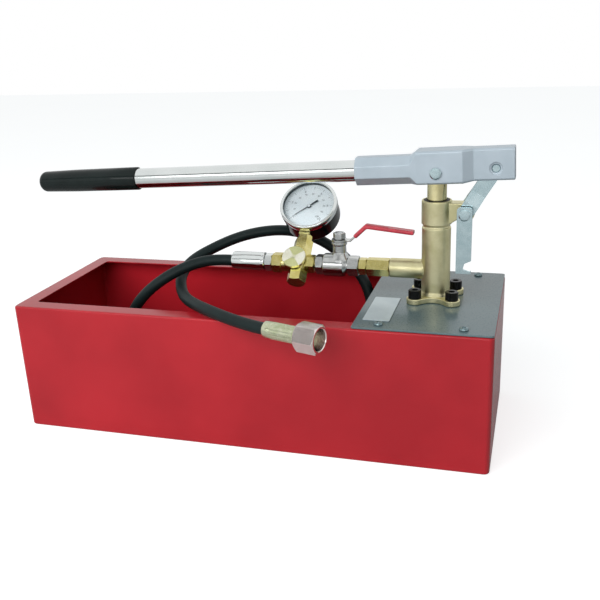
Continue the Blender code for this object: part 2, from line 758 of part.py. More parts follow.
def build_body():
    """The brass casting, outside first and then its passages."""
    axis = Matrix.Translation((PUMP_X, 0, 0))
    body = add_piece("pump_body", "cast_brass", prism(flange_outline(), BODY_BASE, FLANGE_TOP), axis)
    groove_top = BODY_TOP - COLLAR_LENGTH
    groove = CYLINDER_RADIUS - COLLAR_GROOVE_DEPTH
    column = [
        (0, BODY_BASE - SUCTION_BOSS_LENGTH),
        (SUCTION_BOSS_RADIUS, BODY_BASE - SUCTION_BOSS_LENGTH),
        (SUCTION_BOSS_RADIUS, BODY_BASE + EDGE),
        (CYLINDER_FOOT_RADIUS, BODY_BASE + EDGE),
        (CYLINDER_FOOT_RADIUS, FLANGE_TOP + EDGE),
        (CYLINDER_RADIUS, FLANGE_TOP + CYLINDER_FOOT_HEIGHT),
        (CYLINDER_RADIUS, groove_top - COLLAR_GROOVE_WIDTH),
        (groove, groove_top - COLLAR_GROOVE_WIDTH + EDGE),
        (groove, groove_top - EDGE),
        (COLLAR_RADIUS, groove_top),
        (COLLAR_RADIUS, BODY_TOP - EDGE),
        (COLLAR_RADIUS - EDGE, BODY_TOP),
        (0, BODY_TOP),
    ]
    fuse(body, turned(column, WIDE_SIDES), axis)
    pipe = facing((PUMP_X, 0, PIPE_Z), (-1, 0, 0))
    fuse(body, soft_rod(SPIGOT_RADIUS, CYLINDER_RADIUS / 2, SPIGOT_REACH), pipe)
    fuse(body, prism(lug_outline(), -LUG_HALF_WIDTH, LUG_HALF_WIDTH), axis @ SIDE_VIEW)

    chamber_floor = BODY_BASE + CHAMBER_FLOOR_RISE
    boss_foot = BODY_BASE - SUCTION_BOSS_LENGTH
    seal_low = BODY_TOP - SEAL_GROOVE_DROP
    seal_high = seal_low + SEAL_WIDTH + 2 * GAP
    wiper_low = BODY_TOP + WIPER_STAND - WIPER_WIDTH - GAP
    bores = [
        (0, boss_foot - OVERRUN),
        (SUCTION_BORE_RADIUS, boss_foot - OVERRUN),
        (SUCTION_BORE_RADIUS, boss_foot + SUCTION_BORE_DEPTH),
        (BALL_CAGE_RADIUS, boss_foot + SUCTION_BORE_DEPTH),
        (BALL_CAGE_RADIUS, boss_foot + BALL_CAGE_DEPTH),
        (SUCTION_PORT_RADIUS, boss_foot + BALL_CAGE_DEPTH),
        (SUCTION_PORT_RADIUS, chamber_floor),
        (PLUNGER_BORE_RADIUS, chamber_floor),
        (PLUNGER_BORE_RADIUS, seal_low),
        (SEAL_GROOVE_RADIUS, seal_low),
        (SEAL_GROOVE_RADIUS, seal_high),
        (PLUNGER_BORE_RADIUS, seal_high),
        (PLUNGER_BORE_RADIUS, wiper_low),
        (WIPER_RADIUS + GAP, wiper_low),
        (WIPER_RADIUS + GAP, BODY_TOP + OVERRUN),
        (0, BODY_TOP + OVERRUN),
    ]
    cut(body, turned(bores), axis)
    outlet = [
        (0, CYLINDER_RADIUS / 2),
        (OUTLET_PORT_RADIUS, CYLINDER_RADIUS / 2),
        (OUTLET_PORT_RADIUS, OUTLET_POCKET_REACH),
        (OUTLET_POCKET_RADIUS, OUTLET_POCKET_REACH),
        (OUTLET_POCKET_RADIUS, SPIGOT_REACH + OVERRUN),
        (0, SPIGOT_REACH + OVERRUN),
    ]
    cut(body, turned(outlet, SMALL_SIDES), pipe)
    pin_hole = rod(PIVOT_PIN_RADIUS + GAP, -LUG_HALF_WIDTH - OVERRUN, LUG_HALF_WIDTH + OVERRUN, SMALL_SIDES)
    cut(body, pin_hole, Matrix.Translation(LUG_AT) @ SIDE_VIEW)
    for place in flange_screw_places():
        hole = rod(FLANGE_SCREW_RADIUS + GAP, -FLANGE_THICKNESS - OVERRUN, OVERRUN, SMALL_SIDES)
        cut(body, hole, Matrix.Translation(place))

    seal = tube(PLUNGER_BORE_RADIUS, SEAL_GROOVE_RADIUS - GAP, seal_low + GAP, seal_low + GAP + SEAL_WIDTH)
    add_piece("plunger_seal", "sealing", seal, axis)
    wiper = tube(PLUNGER_BORE_RADIUS, WIPER_RADIUS, wiper_low + GAP, BODY_TOP + WIPER_STAND)
    add_piece("wiper_ring", "black_oxide", wiper, axis)


def build_flange_screws():
    """Four socket-head screws through the flange and the cover into the backing plate."""
    base = COVER_BASE - GAP - BACKING_PLATE_SHEET
    plate = add_piece("backing_plate", "zinc",
                      block(BACKING_PLATE_SIDE, BACKING_PLATE_SIDE, 0, BACKING_PLATE_SHEET),
                      Matrix.Translation((PUMP_X, 0, base)))
    boss_hole = rod(SUCTION_BOSS_RADIUS + GAP, -OVERRUN, BACKING_PLATE_SHEET + OVERRUN)
    cut(plate, boss_hole, plate.matrix_world)
    for number, place in enumerate(flange_screw_places(), 1):
        hole = rod(FLANGE_SCREW_RADIUS + GAP, base - OVERRUN - place.z, 0, SMALL_SIDES)
        cut(plate, hole, Matrix.Translation(place))
        build_flange_screw(f"flange_screw_{number}", place)


def build_flange_screw(name, place):
    top = GAP + FLANGE_SCREW_HEAD_HEIGHT
    profile = [
        (0, -FLANGE_SCREW_LENGTH),
        (FLANGE_SCREW_RADIUS, -FLANGE_SCREW_LENGTH),
        (FLANGE_SCREW_RADIUS, GAP),
        (FLANGE_SCREW_HEAD_RADIUS, GAP),
        (FLANGE_SCREW_HEAD_RADIUS, top - EDGE),
        (FLANGE_SCREW_HEAD_RADIUS - EDGE, top),
        (0, top),
    ]
    screw = add_piece(name, "black_oxide", turned(profile, SMALL_SIDES), Matrix.Translation(place))
    corner = FLANGE_SCREW_SOCKET / math.sqrt(3)
    outline = arc((0, 0), corner, 0, 5 * math.pi / 3, 5)
    cut(screw, prism(outline, top - FLANGE_SCREW_SOCKET_DEPTH, top + OVERRUN), Matrix.Translation(place))


def build_plunger(joint):
    """A solid brass plunger with a round head for the lever's pin."""
    foot = BODY_BASE + CHAMBER_FLOOR_RISE + PLUNGER_FOOT_RISE - PLUNGER_PIN_AT.z
    dome = arc((0, 0), PLUNGER_RADIUS, 0, math.pi / 2, 5)
    profile = [(0, foot), (PLUNGER_RADIUS - EDGE, foot), (PLUNGER_RADIUS, foot + EDGE), *dome[:-1],
               (0, PLUNGER_RADIUS)]
    plunger = add_piece("plunger", "turned_brass", turned(profile), Matrix.Translation(PLUNGER_PIN_AT),
                        joint)
    hole = rod(PLUNGER_PIN_RADIUS + GAP, -PLUNGER_RADIUS - OVERRUN, PLUNGER_RADIUS + OVERRUN, SMALL_SIDES)
    cut(plunger, hole, Matrix.Translation(PLUNGER_PIN_AT) @ SIDE_VIEW)


def seat(height, bore, mouth, radius):
    """A seat ring whose top is coned for a ball."""
    return turned([(bore, 0), (radius, 0), (radius, height), (mouth, height),
                   (bore, height - mouth + bore)])


def ball_rise(height, mouth, radius):
    """How far above a seat's foot the ball's centre lies, a gap above the cone."""
    return height - mouth + (radius + GAP) * math.sqrt(2)


def build_suction_side(joint):
    """Seat, ball, pipe and strainer under the pump."""
    seat_foot = BODY_BASE - SUCTION_BOSS_LENGTH + SUCTION_SEAT_RISE + SEAT_HEIGHT
    axis = Vector((PUMP_X, 0, seat_foot))
    pipe_radius = SUCTION_BORE_RADIUS - GAP
    add_piece("suction_seat", "turned_brass",
              seat(SEAT_HEIGHT, SEAT_BORE_RADIUS, SEAT_MOUTH_RADIUS, pipe_radius), Matrix.Translation(axis))
    rise = ball_rise(SEAT_HEIGHT, SEAT_MOUTH_RADIUS, SUCTION_BALL_RADIUS)
    joint.location = axis + Vector((0, 0, rise))
    add_piece("suction_ball", "steel", ball(SUCTION_BALL_RADIUS),
              Matrix.Translation(axis + Vector((0, 0, rise))), joint)
    pipe = tube(SUCTION_PIPE_BORE_RADIUS, pipe_radius, SUCTION_PIPE_FOOT, seat_foot - GAP)
    add_piece("suction_pipe", "turned_brass", pipe, Matrix.Translation((PUMP_X, 0, 0)))
    top = STRAINER_FOOT + STRAINER_HEIGHT
    inner = STRAINER_RADIUS - STRAINER_WALL
    profile = [
        (0, STRAINER_FOOT),
        (STRAINER_RADIUS, STRAINER_FOOT),
        (STRAINER_RADIUS, top),
        (SUCTION_BORE_RADIUS, top),
        (SUCTION_BORE_RADIUS, top - STRAINER_WALL),
        (inner, top - STRAINER_WALL),
        (inner, STRAINER_FOOT + STRAINER_WALL),
        (0, STRAINER_FOOT + STRAINER_WALL),
    ]
    axis = Matrix.Translation((PUMP_X, 0, 0))
    strainer = add_piece("suction_strainer", "black_plastic", turned(profile), axis)
    low = STRAINER_FOOT + (STRAINER_HEIGHT - STRAINER_SLOT_HEIGHT) / 2
    for number in range(STRAINER_SLOTS // 2):
        slot = block(STRAINER_SLOT_WIDTH, 2 * STRAINER_RADIUS + OVERRUN, low, low + STRAINER_SLOT_HEIGHT)
        cut(strainer, slot, axis @ Matrix.Rotation(2 * math.pi * number / STRAINER_SLOTS, 4, "Z"))


def build_pressure_side(joint):
    """Seat, ball and spring in the outlet spigot, on the pipe's axis."""
    seat_foot = PUMP_X - PRESSURE_SEAT_REACH + PRESSURE_SEAT_HEIGHT
    place = facing((seat_foot, 0, PIPE_Z), (-1, 0, 0))
    bore_fit = OUTLET_POCKET_RADIUS - GAP
    add_piece("pressure_seat", "turned_brass",
              seat(PRESSURE_SEAT_HEIGHT, PRESSURE_SEAT_BORE_RADIUS, PRESSURE_SEAT_MOUTH_RADIUS,
                   bore_fit), place)
    rise = ball_rise(PRESSURE_SEAT_HEIGHT, PRESSURE_SEAT_MOUTH_RADIUS, PRESSURE_BALL_RADIUS)
    ball_x = seat_foot - rise
    joint.location = (ball_x, 0, PIPE_Z)
    add_piece("pressure_ball", "steel", ball(PRESSURE_BALL_RADIUS), Matrix.Translation((ball_x, 0, PIPE_Z)),
              joint)
    touch = math.sqrt(PRESSURE_BALL_RADIUS**2 - SPRING_RADIUS**2) + SPRING_WIRE_RADIUS + 2 * GAP
    points = []
    for step in range(SPRING_TURNS * SPRING_POINTS_PER_TURN + 1):
        angle = 2 * math.pi * step / SPRING_POINTS_PER_TURN
        share = step / (SPRING_TURNS * SPRING_POINTS_PER_TURN)
        points.append((SPRING_RADIUS * math.cos(angle), SPRING_RADIUS * math.sin(angle),
                       SPRING_LENGTH * share))
    place = facing((ball_x - touch, 0, PIPE_Z), (-1, 0, 0))
    add_tube("pressure_spring", "steel", [place @ Vector(point) for point in points], SPRING_WIRE_RADIUS, 1,
             joint)


def add_tube(name, slot, points, radius, resolution, joint=None):
    """A round bar that follows the points, with both ends closed."""
    curve = bpy.data.curves.new(name, "CURVE")
    curve.dimensions = "3D"
    curve.bevel_depth = radius
    curve.bevel_resolution = resolution
    curve.use_fill_caps = True
    spline = curve.splines.new("POLY")
    spline.points.add(len(points) - 1)
    for point, place in zip(spline.points, points):
        point.co = (*place, 1)
    spline.use_smooth = True
    made = bpy.data.objects.new(name, curve)
    made.data.materials.append(finish_of(name, slot))
    bpy.context.collection.objects.link(made)
    if joint:
        carry(made, joint)
    return made


def build_adapter():
    """Hexagonal adapter between the spigot and the ball valve, and its lock nut."""
    place = facing((SPIGOT_END_X - GAP, 0, PIPE_Z), (-1, 0, 0))
    adapter = add_piece("outlet_adapter", "cast_brass", hexagon(ADAPTER_HEX, 0, ADAPTER_HEX_LENGTH), place)
    stub = soft_rod(OUTLET_POCKET_RADIUS - GAP, -ADAPTER_STUB_LENGTH, ADAPTER_HEX_LENGTH / 2)
    fuse(adapter, stub, place)
    thread_end = ADAPTER_HEX_LENGTH + ADAPTER_THREAD_LENGTH
    fuse(adapter, soft_rod(ADAPTER_THREAD_RADIUS, ADAPTER_HEX_LENGTH / 2, thread_end), place)
    cut(adapter,
        rod(ADAPTER_BORE_RADIUS, -ADAPTER_STUB_LENGTH - OVERRUN, thread_end + OVERRUN, SMALL_SIDES), place)
    nut_start = ADAPTER_HEX_LENGTH + GAP
    nut = add_piece("outlet_locknut", "cast_brass",
                    hexagon(LOCKNUT_HEX, nut_start, nut_start + LOCKNUT_LENGTH),
                    place)
    hole = rod(ADAPTER_THREAD_RADIUS + GAP, nut_start - OVERRUN, nut_start + LOCKNUT_LENGTH + OVERRUN)
    cut(nut, hole, place)


def build_valve_body():
    """Body, screwed end and seats of the ball valve, about the middle of the ball and along the pipe."""
    place = facing((VALVE_X, 0, PIPE_Z), (1, 0, 0))
    upright = Matrix.Translation((VALVE_X, 0, PIPE_Z))
    right = VALVE_RIGHT
    profile = [
        (0, -VALVE_BODY_LEFT),
        (VALVE_BARREL_RADIUS - 3 * EDGE, -VALVE_BODY_LEFT),
        (VALVE_BARREL_RADIUS, -VALVE_BODY_LEFT + 3 * EDGE),
        (VALVE_BARREL_RADIUS, VALVE_BARREL_RIGHT),
        (VALVE_NECK_RADIUS, VALVE_HEX_LEFT - 3 * EDGE),
        (VALVE_NECK_RADIUS, VALVE_HEX_LEFT + EDGE),
        (0, VALVE_HEX_LEFT + EDGE),
    ]
    body = add_piece("valve_body", "nickel", turned(profile), place)
    fuse(body, hexagon(VALVE_HEX, VALVE_HEX_LEFT, right), place)
    bonnet = [
        (0, 0),
        (VALVE_BONNET_RADIUS - 2 * EDGE, 0),
        (VALVE_BONNET_RADIUS - 2 * EDGE, VALVE_BONNET_RISE - VALVE_BONNET_LIP),
        (VALVE_BONNET_RADIUS, VALVE_BONNET_RISE - VALVE_BONNET_LIP + EDGE),
        (VALVE_BONNET_RADIUS, VALVE_BONNET_RISE - EDGE),
        (VALVE_BONNET_RADIUS - EDGE, VALVE_BONNET_RISE),
        (0, VALVE_BONNET_RISE),
    ]
    fuse(body, turned(bonnet, SMALL_SIDES), upright)
    stub_bore = VALVE_END_STUB_RADIUS + GAP
    bores = [
        (0, -VALVE_BODY_LEFT - OVERRUN),
        (stub_bore, -VALVE_BODY_LEFT - OVERRUN),
        (stub_bore, -SEAT_RING_OUTER),
        (VALVE_CAVITY_RADIUS, -SEAT_RING_OUTER),
        (VALVE_CAVITY_RADIUS, VALVE_CAVITY_RIGHT),
        (ADAPTER_THREAD_RADIUS + GAP, VALVE_CAVITY_RIGHT),
        (ADAPTER_THREAD_RADIUS + GAP, right + OVERRUN),
        (0, right + OVERRUN),
    ]
    cut(body, turned(bores), place)
    cut(body, rod(STEM_RADIUS + GAP, 0, VALVE_BONNET_RISE + OVERRUN, SMALL_SIDES), upright)

    end_face = -VALVE_BODY_LEFT - GAP
    end = add_piece("valve_end", "nickel", hexagon(VALVE_HEX, end_face - VALVE_END_LENGTH, end_face), place)
    fuse(end, soft_rod(VALVE_END_STUB_RADIUS, end_face - VALVE_END_LENGTH / 2, -VALVE_END_STUB_REACH),
         place)
    mouth = [
        (0, end_face - VALVE_END_LENGTH - OVERRUN),
        (VALVE_END_MOUTH_RADIUS, end_face - VALVE_END_LENGTH - OVERRUN),
        (VALVE_END_MOUTH_RADIUS, end_face),
        (VALVE_END_BORE_RADIUS, end_face),
        (VALVE_END_BORE_RADIUS, -VALVE_END_STUB_REACH + OVERRUN),
        (0, -VALVE_END_STUB_REACH + OVERRUN),
    ]
    cut(end, turned(mouth, SMALL_SIDES), place)
    ring = [
        (SEAT_RING_BORE_RADIUS, SEAT_RING_CONE),
        (SEAT_RING_LIP_RADIUS, SEAT_RING_INNER),
        (SEAT_RING_RADIUS, SEAT_RING_INNER),
        (SEAT_RING_RADIUS, SEAT_RING_OUTER),
        (SEAT_RING_BORE_RADIUS, SEAT_RING_OUTER),
    ]
    for name, way in (("valve_seat_left", -1), ("valve_seat_right", 1)):
        add_piece(name, "sealing", turned(ring), facing((VALVE_X, 0, PIPE_Z), (way, 0, 0)))


def handle_path():
    """Where the middle of the handle's bar runs, in reach along the pipe and in height above its flat."""
    flat = HANDLE_SHEET / 2
    return [
        (HANDLE_EYE_RADIUS / 2, flat),
        (HANDLE_FLAT_REACH, flat),
        (HANDLE_KNEE_REACH, HANDLE_KNEE_RISE + flat),
        (HANDLE_TIP_REACH, HANDLE_TIP_RISE + flat),
    ]


def along_path(path, start, end):
    """The path's points between two reaches, with the two ends added."""
    def at(reach):
        for first, second in zip(path, path[1:]):
            if reach <= second[0]:
                share = (reach - first[0]) / (second[0] - first[0])
                return (reach, first[1] + share * (second[1] - first[1]))
        return (reach, path[-1][1])

    return [at(start), *[point for point in path if start < point[0] < end], at(end)]


def bar(points, width, thickness, corner):
    """A flat bar of one width and thickness whose middle follows the points in the XZ plane."""
    rings = []
    for number, (x, z) in enumerate(points):
        before = Vector(points[max(number - 1, 0)])
        after = Vector(points[min(number + 1, len(points) - 1)])
        here = Vector((x, z))
        way = Vector((0, 0))
        for step in (here - before, after - here):
            if step.length:
                way += step.normalized()
        way.normalize()
        across = Vector((-way.y, way.x))
        straight = (here - before).normalized() if number else way
        stretch = 1 / max(abs(way.dot(straight)), math.cos(math.pi / 3))
        half = thickness / 2 * stretch
        outline = rounded_rectangle(width, 2 * half, corner, 2)
        rings.append([(x + across.x * v, u, z + across.y * v) for u, v in outline])
    return skin(rings, "closed")


def build_valve_handle(joint):
    """Ball, stem, nut, handle and sleeve, which turn together."""
    centre = Vector((VALVE_X, 0, PIPE_Z))
    upright = Matrix.Translation(centre)
    valve_ball = add_piece("valve_ball", "steel", ball(VALVE_BALL_RADIUS, SIDES), upright, joint)
    bore = rod(VALVE_BALL_BORE_RADIUS, -VALVE_BALL_RADIUS - OVERRUN, VALVE_BALL_RADIUS + OVERRUN,
               SMALL_SIDES)
    cut(valve_ball, bore, facing(centre, (1, 0, 0)))
    slot = block(2 * VALVE_BALL_RADIUS + OVERRUN, VALVE_SLOT_WIDTH, VALVE_SLOT_RISE,
                 VALVE_BALL_RADIUS + OVERRUN)
    cut(valve_ball, slot, upright)

    flat = VALVE_BONNET_RISE + GAP
    stem = add_piece("valve_stem", "steel",
                     soft_rod(STEM_RADIUS, STEM_FOOT_RISE, STEM_TOP_RISE, SMALL_SIDES),
                     upright, joint)
    tang = block(STEM_TANG_LENGTH, VALVE_SLOT_WIDTH - 2 * GAP, VALVE_SLOT_RISE + GAP, STEM_FOOT_RISE + EDGE)
    fuse(stem, tang, upright)

    handle_place = Matrix.Translation(centre + Vector((0, 0, flat)))
    handle = add_piece("valve_handle", "nickel", rod(HANDLE_EYE_RADIUS, 0, HANDLE_SHEET), handle_place,
                       joint)
    fuse(handle, bar(handle_path(), HANDLE_WIDTH, HANDLE_SHEET - EDGE / 2, EDGE), handle_place)
    cut(handle, rod(STEM_RADIUS + GAP, -OVERRUN, HANDLE_SHEET + OVERRUN, SMALL_SIDES), handle_place)

    path = handle_path()
    covered = along_path(path, SLEEVE_START_REACH, HANDLE_TIP_REACH + SLEEVE_END_LENGTH)
    sleeve = add_piece("handle_sleeve", "red_vinyl",
                       bar(covered, SLEEVE_WIDTH, SLEEVE_THICKNESS, SLEEVE_THICKNESS / 3),
                       handle_place, joint)
    room = [*along_path(path, HANDLE_FLAT_REACH, HANDLE_TIP_REACH + GAP)]
    cut(sleeve, bar(room, HANDLE_WIDTH + 2 * GAP, HANDLE_SHEET + GAP, EDGE), handle_place)

    nut_foot = flat + HANDLE_SHEET + GAP
    nut = add_piece("stem_nut", "nickel", hexagon(STEM_NUT_HEX, nut_foot, nut_foot + STEM_NUT_HEIGHT),
                    upright, joint)
    cut(nut, rod(STEM_RADIUS + GAP, nut_foot - OVERRUN, nut_foot + STEM_NUT_HEIGHT + OVERRUN, SMALL_SIDES),
        upright)


def build_manifold():
    """The brass cross between the ball valve, the hose, the gauge, the release valve and the plug."""
    pipe = facing((0, 0, PIPE_Z), (1, 0, 0))
    core_left = MANIFOLD_LEFT + MANIFOLD_LEFT_HEX_LENGTH - MANIFOLD_CORE_OVERLAP
    core_right = MANIFOLD_RIGHT_HEX_LEFT + MANIFOLD_CORE_OVERLAP
    manifold = add_piece("manifold", "turned_brass", soft_rod(MANIFOLD_CORE_RADIUS, core_left, core_right),
                         pipe)
    fuse(manifold, hexagon(MANIFOLD_LEFT_HEX, MANIFOLD_LEFT, MANIFOLD_LEFT + MANIFOLD_LEFT_HEX_LENGTH),
         pipe)
    fuse(manifold, hexagon(MANIFOLD_RIGHT_HEX, MANIFOLD_RIGHT_HEX_LEFT, MANIFOLD_RIGHT), pipe)
    stub_end = MANIFOLD_RIGHT + MANIFOLD_STUB_LENGTH
    fuse(manifold, soft_rod(MANIFOLD_STUB_RADIUS, MANIFOLD_RIGHT - OVERRUN, stub_end, BORE_SIDES), pipe)
    port = PORT_FRAME @ facing((0, 0, 0), (0, 1, 0))
    drain = PORT_FRAME @ facing((0, 0, 0), (0, -1, 0))
    fuse(manifold, hexagon(NECK_HEX, NECK_HEX / 4, NECK_LENGTH), port)
    fuse(manifold, soft_rod(NECK_HEX / 2, NECK_HEX / 5, PLUG_SHOULDER - GAP), drain)
    fuse(manifold, soft_rod(KNOB_BOSS_RADIUS, KNOB_BOSS_LENGTH / 3, KNOB_BOSS_LENGTH), KNOB_FRAME)

    thread = MANIFOLD_THREAD_RADIUS + GAP
    bore = rod(MANIFOLD_BORE_RADIUS, MANIFOLD_LEFT - OVERRUN, stub_end + OVERRUN, BORE_SIDES)
    cut(manifold, bore, pipe)
    hose_side = rod(thread, MANIFOLD_LEFT - OVERRUN, MANIFOLD_LEFT + HOSE_NUT_THREAD_LENGTH + GAP,
                    BORE_SIDES)
    cut(manifold, hose_side, pipe)
    port_bore = SPINDLE_RADIUS
    gauge_side = [
        (0, port_bore / 2),
        (port_bore, port_bore / 2),
        (port_bore, NECK_LENGTH - MANIFOLD_THREAD_DEPTH),
        (thread, NECK_LENGTH - MANIFOLD_THREAD_DEPTH),
        (thread, NECK_LENGTH + OVERRUN),
        (0, NECK_LENGTH + OVERRUN),
    ]
    cut(manifold, turned(gauge_side, BORE_SIDES), port)
    cut(manifold, rod(thread, PLUG_SHOULDER - PLUG_STUB_LENGTH - GAP, PLUG_SHOULDER + OVERRUN, BORE_SIDES),
        drain)
    cut(manifold, rod(SPINDLE_RADIUS + GAP, port_bore / 3, KNOB_BOSS_LENGTH + OVERRUN, BORE_SIDES),
        KNOB_FRAME)

    plug = add_piece("manifold_plug", "turned_brass", hexagon(PLUG_HEX, PLUG_SHOULDER, PLUG_END), drain)
    stub = soft_rod(MANIFOLD_THREAD_RADIUS, PLUG_SHOULDER - PLUG_STUB_LENGTH, PLUG_END - OVERRUN,
                    BORE_SIDES)
    fuse(plug, stub, drain)


def build_release_valve(spindle_joint, knob_joint):
    """Needle spindle and its turned knob in front of the manifold."""
    web = KNOB_FRONT - KNOB_WEB
    spindle = [
        (0, SPINDLE_TIP),
        (SPINDLE_RADIUS, SPINDLE_TIP + SPINDLE_RADIUS),
        (SPINDLE_RADIUS, web - GAP),
        (0, web - GAP),
    ]
    add_piece("release_spindle", "steel", turned(spindle, SMALL_SIDES), KNOB_FRAME, spindle_joint)
    knob = [
        (SPINDLE_RADIUS + GAP, KNOB_BACK),
        (KNOB_RADIUS - EDGE, KNOB_BACK),
        (KNOB_RADIUS, KNOB_BACK + EDGE),
        (KNOB_RADIUS, KNOB_FRONT - EDGE),
        (KNOB_RADIUS - EDGE, KNOB_FRONT),
        (0, KNOB_FRONT),
    ]
    profile = [(0, web), (SPINDLE_RADIUS + GAP, web), *knob]
    add_piece("release_knob", "turned_brass", turned(profile, WIDE_SIDES), KNOB_FRAME, knob_joint)


def build_gauge():
    """Socket, case, bezel, glass, dial and spring tube of the pressure gauge."""
    port = PORT_FRAME @ facing((0, 0, 0), (0, 1, 0))
    foot = NECK_LENGTH + GAP
    stem_end = GAUGE_REACH - GAUGE_TUBE_BEND_RADIUS - GAUGE_TUBE_RADIUS - GAP
    socket = add_piece("gauge_socket", "turned_brass",
                       hexagon(GAUGE_SOCKET_HEX, foot, foot + GAUGE_SOCKET_HEX_LENGTH),
                       port)
    stem = block(GAUGE_STEM_WIDTH, GAUGE_STEM_WIDTH, foot + GAUGE_SOCKET_HEX_LENGTH / 2, stem_end)
    fuse(socket, stem, port)
    thread_foot = NECK_LENGTH - MANIFOLD_THREAD_DEPTH + GAP
    fuse(socket,
         soft_rod(MANIFOLD_THREAD_RADIUS, thread_foot, foot + GAUGE_SOCKET_HEX_LENGTH / 2,
                  SMALL_SIDES), port)
    cut(socket, rod(MANIFOLD_THREAD_RADIUS / 3, thread_foot - OVERRUN, stem_end + OVERRUN, SMALL_SIDES),
        port)

    inner = GAUGE_CASE_RADIUS - GAUGE_CASE_WALL
    shell = [
        (0, -GAUGE_CASE_BACK),
        (GAUGE_CASE_RADIUS - GAUGE_CASE_EDGE, -GAUGE_CASE_BACK),
        (GAUGE_CASE_RADIUS, GAUGE_CASE_EDGE - GAUGE_CASE_BACK),
        (GAUGE_CASE_RADIUS, GAUGE_CASE_FRONT),
        (inner, GAUGE_CASE_FRONT),
        (inner, GAUGE_CASE_WALL - GAUGE_CASE_BACK),
        (0, GAUGE_CASE_WALL - GAUGE_CASE_BACK),
    ]
    case = add_piece("gauge_case", "black_plastic", turned(shell, WIDE_SIDES), GAUGE_FRAME)
    hole_side = GAUGE_STEM_WIDTH + 2 * GAP
    hole = block(hole_side, hole_side, GAUGE_REACH - GAUGE_CASE_RADIUS - OVERRUN,
                 GAUGE_REACH - inner + OVERRUN)
    cut(case, hole, port)
    lip_back = GAUGE_BEZEL_FRONT - GAUGE_BEZEL_LIP
    sleeve = GAUGE_CASE_RADIUS + GAP
    bezel = [
        (sleeve, GAUGE_BEZEL_BACK),
        (GAUGE_BEZEL_RADIUS, GAUGE_BEZEL_BACK),
        (GAUGE_BEZEL_RADIUS, GAUGE_BEZEL_FRONT - 2 * EDGE),
        (GAUGE_BEZEL_RADIUS - 2 * EDGE, GAUGE_BEZEL_FRONT),
        (GAUGE_WINDOW_RADIUS + EDGE, GAUGE_BEZEL_FRONT),
        (GAUGE_WINDOW_RADIUS, lip_back),
        (sleeve, lip_back),
    ]
    add_piece("gauge_bezel", "chrome", turned(bezel, WIDE_SIDES), GAUGE_FRAME)
    glass_top = lip_back - GAP
    glass = rod(GAUGE_CASE_RADIUS, glass_top - GAUGE_GLASS_THICKNESS, glass_top, WIDE_SIDES)
    add_piece("gauge_glass", "window", glass, GAUGE_FRAME)
    dial = tube(POINTER_SPINDLE_RADIUS + GAP, inner - GAP, GAUGE_DIAL_RISE,
                GAUGE_DIAL_RISE + GAUGE_DIAL_SHEET,
                WIDE_SIDES)
    add_piece("gauge_dial", "white_dial", dial, GAUGE_FRAME)
    bend = arc((0, 0), GAUGE_TUBE_BEND_RADIUS, GAUGE_TUBE_START, GAUGE_TUBE_END, GAUGE_TUBE_POINTS)
    points = [GAUGE_FRAME @ Vector((x, y, -GAUGE_TUBE_DEPTH)) for x, y in bend]
    add_tube("gauge_tube", "turned_brass", points, GAUGE_TUBE_RADIUS, 1)


def build_pointer(joint):
    """Thin pointer on its spindle, at the zero mark."""
    low = GAUGE_DIAL_RISE + GAUGE_DIAL_SHEET + GAP
    hub = [
        (0, low - POINTER_SPINDLE_LENGTH),
        (POINTER_SPINDLE_RADIUS, low - POINTER_SPINDLE_LENGTH),
        (POINTER_SPINDLE_RADIUS, low),
        (POINTER_HUB_RADIUS, low),
        (POINTER_HUB_RADIUS, low + POINTER_HUB_HEIGHT - EDGE),
        (POINTER_HUB_RADIUS - EDGE, low + POINTER_HUB_HEIGHT),
        (0, low + POINTER_HUB_HEIGHT),
    ]
    pointer = add_piece("gauge_pointer", "black_plastic", turned(hub, SMALL_SIDES), GAUGE_FRAME, joint)
    half = POINTER_BLADE_WIDTH / 2
    blade = [(-POINTER_TAIL, -2 * half), (0, -half), (POINTER_LENGTH, -half / 3),
             (POINTER_LENGTH, half / 3),
             (0, half), (-POINTER_TAIL, 2 * half)]
    middle = low + (POINTER_HUB_HEIGHT - POINTER_BLADE_SHEET) / 2
    turn = GAUGE_FRAME @ Matrix.Rotation(POINTER_REST, 4, "Z")
    fuse(pointer, prism(blade, middle, middle + POINTER_BLADE_SHEET), turn)


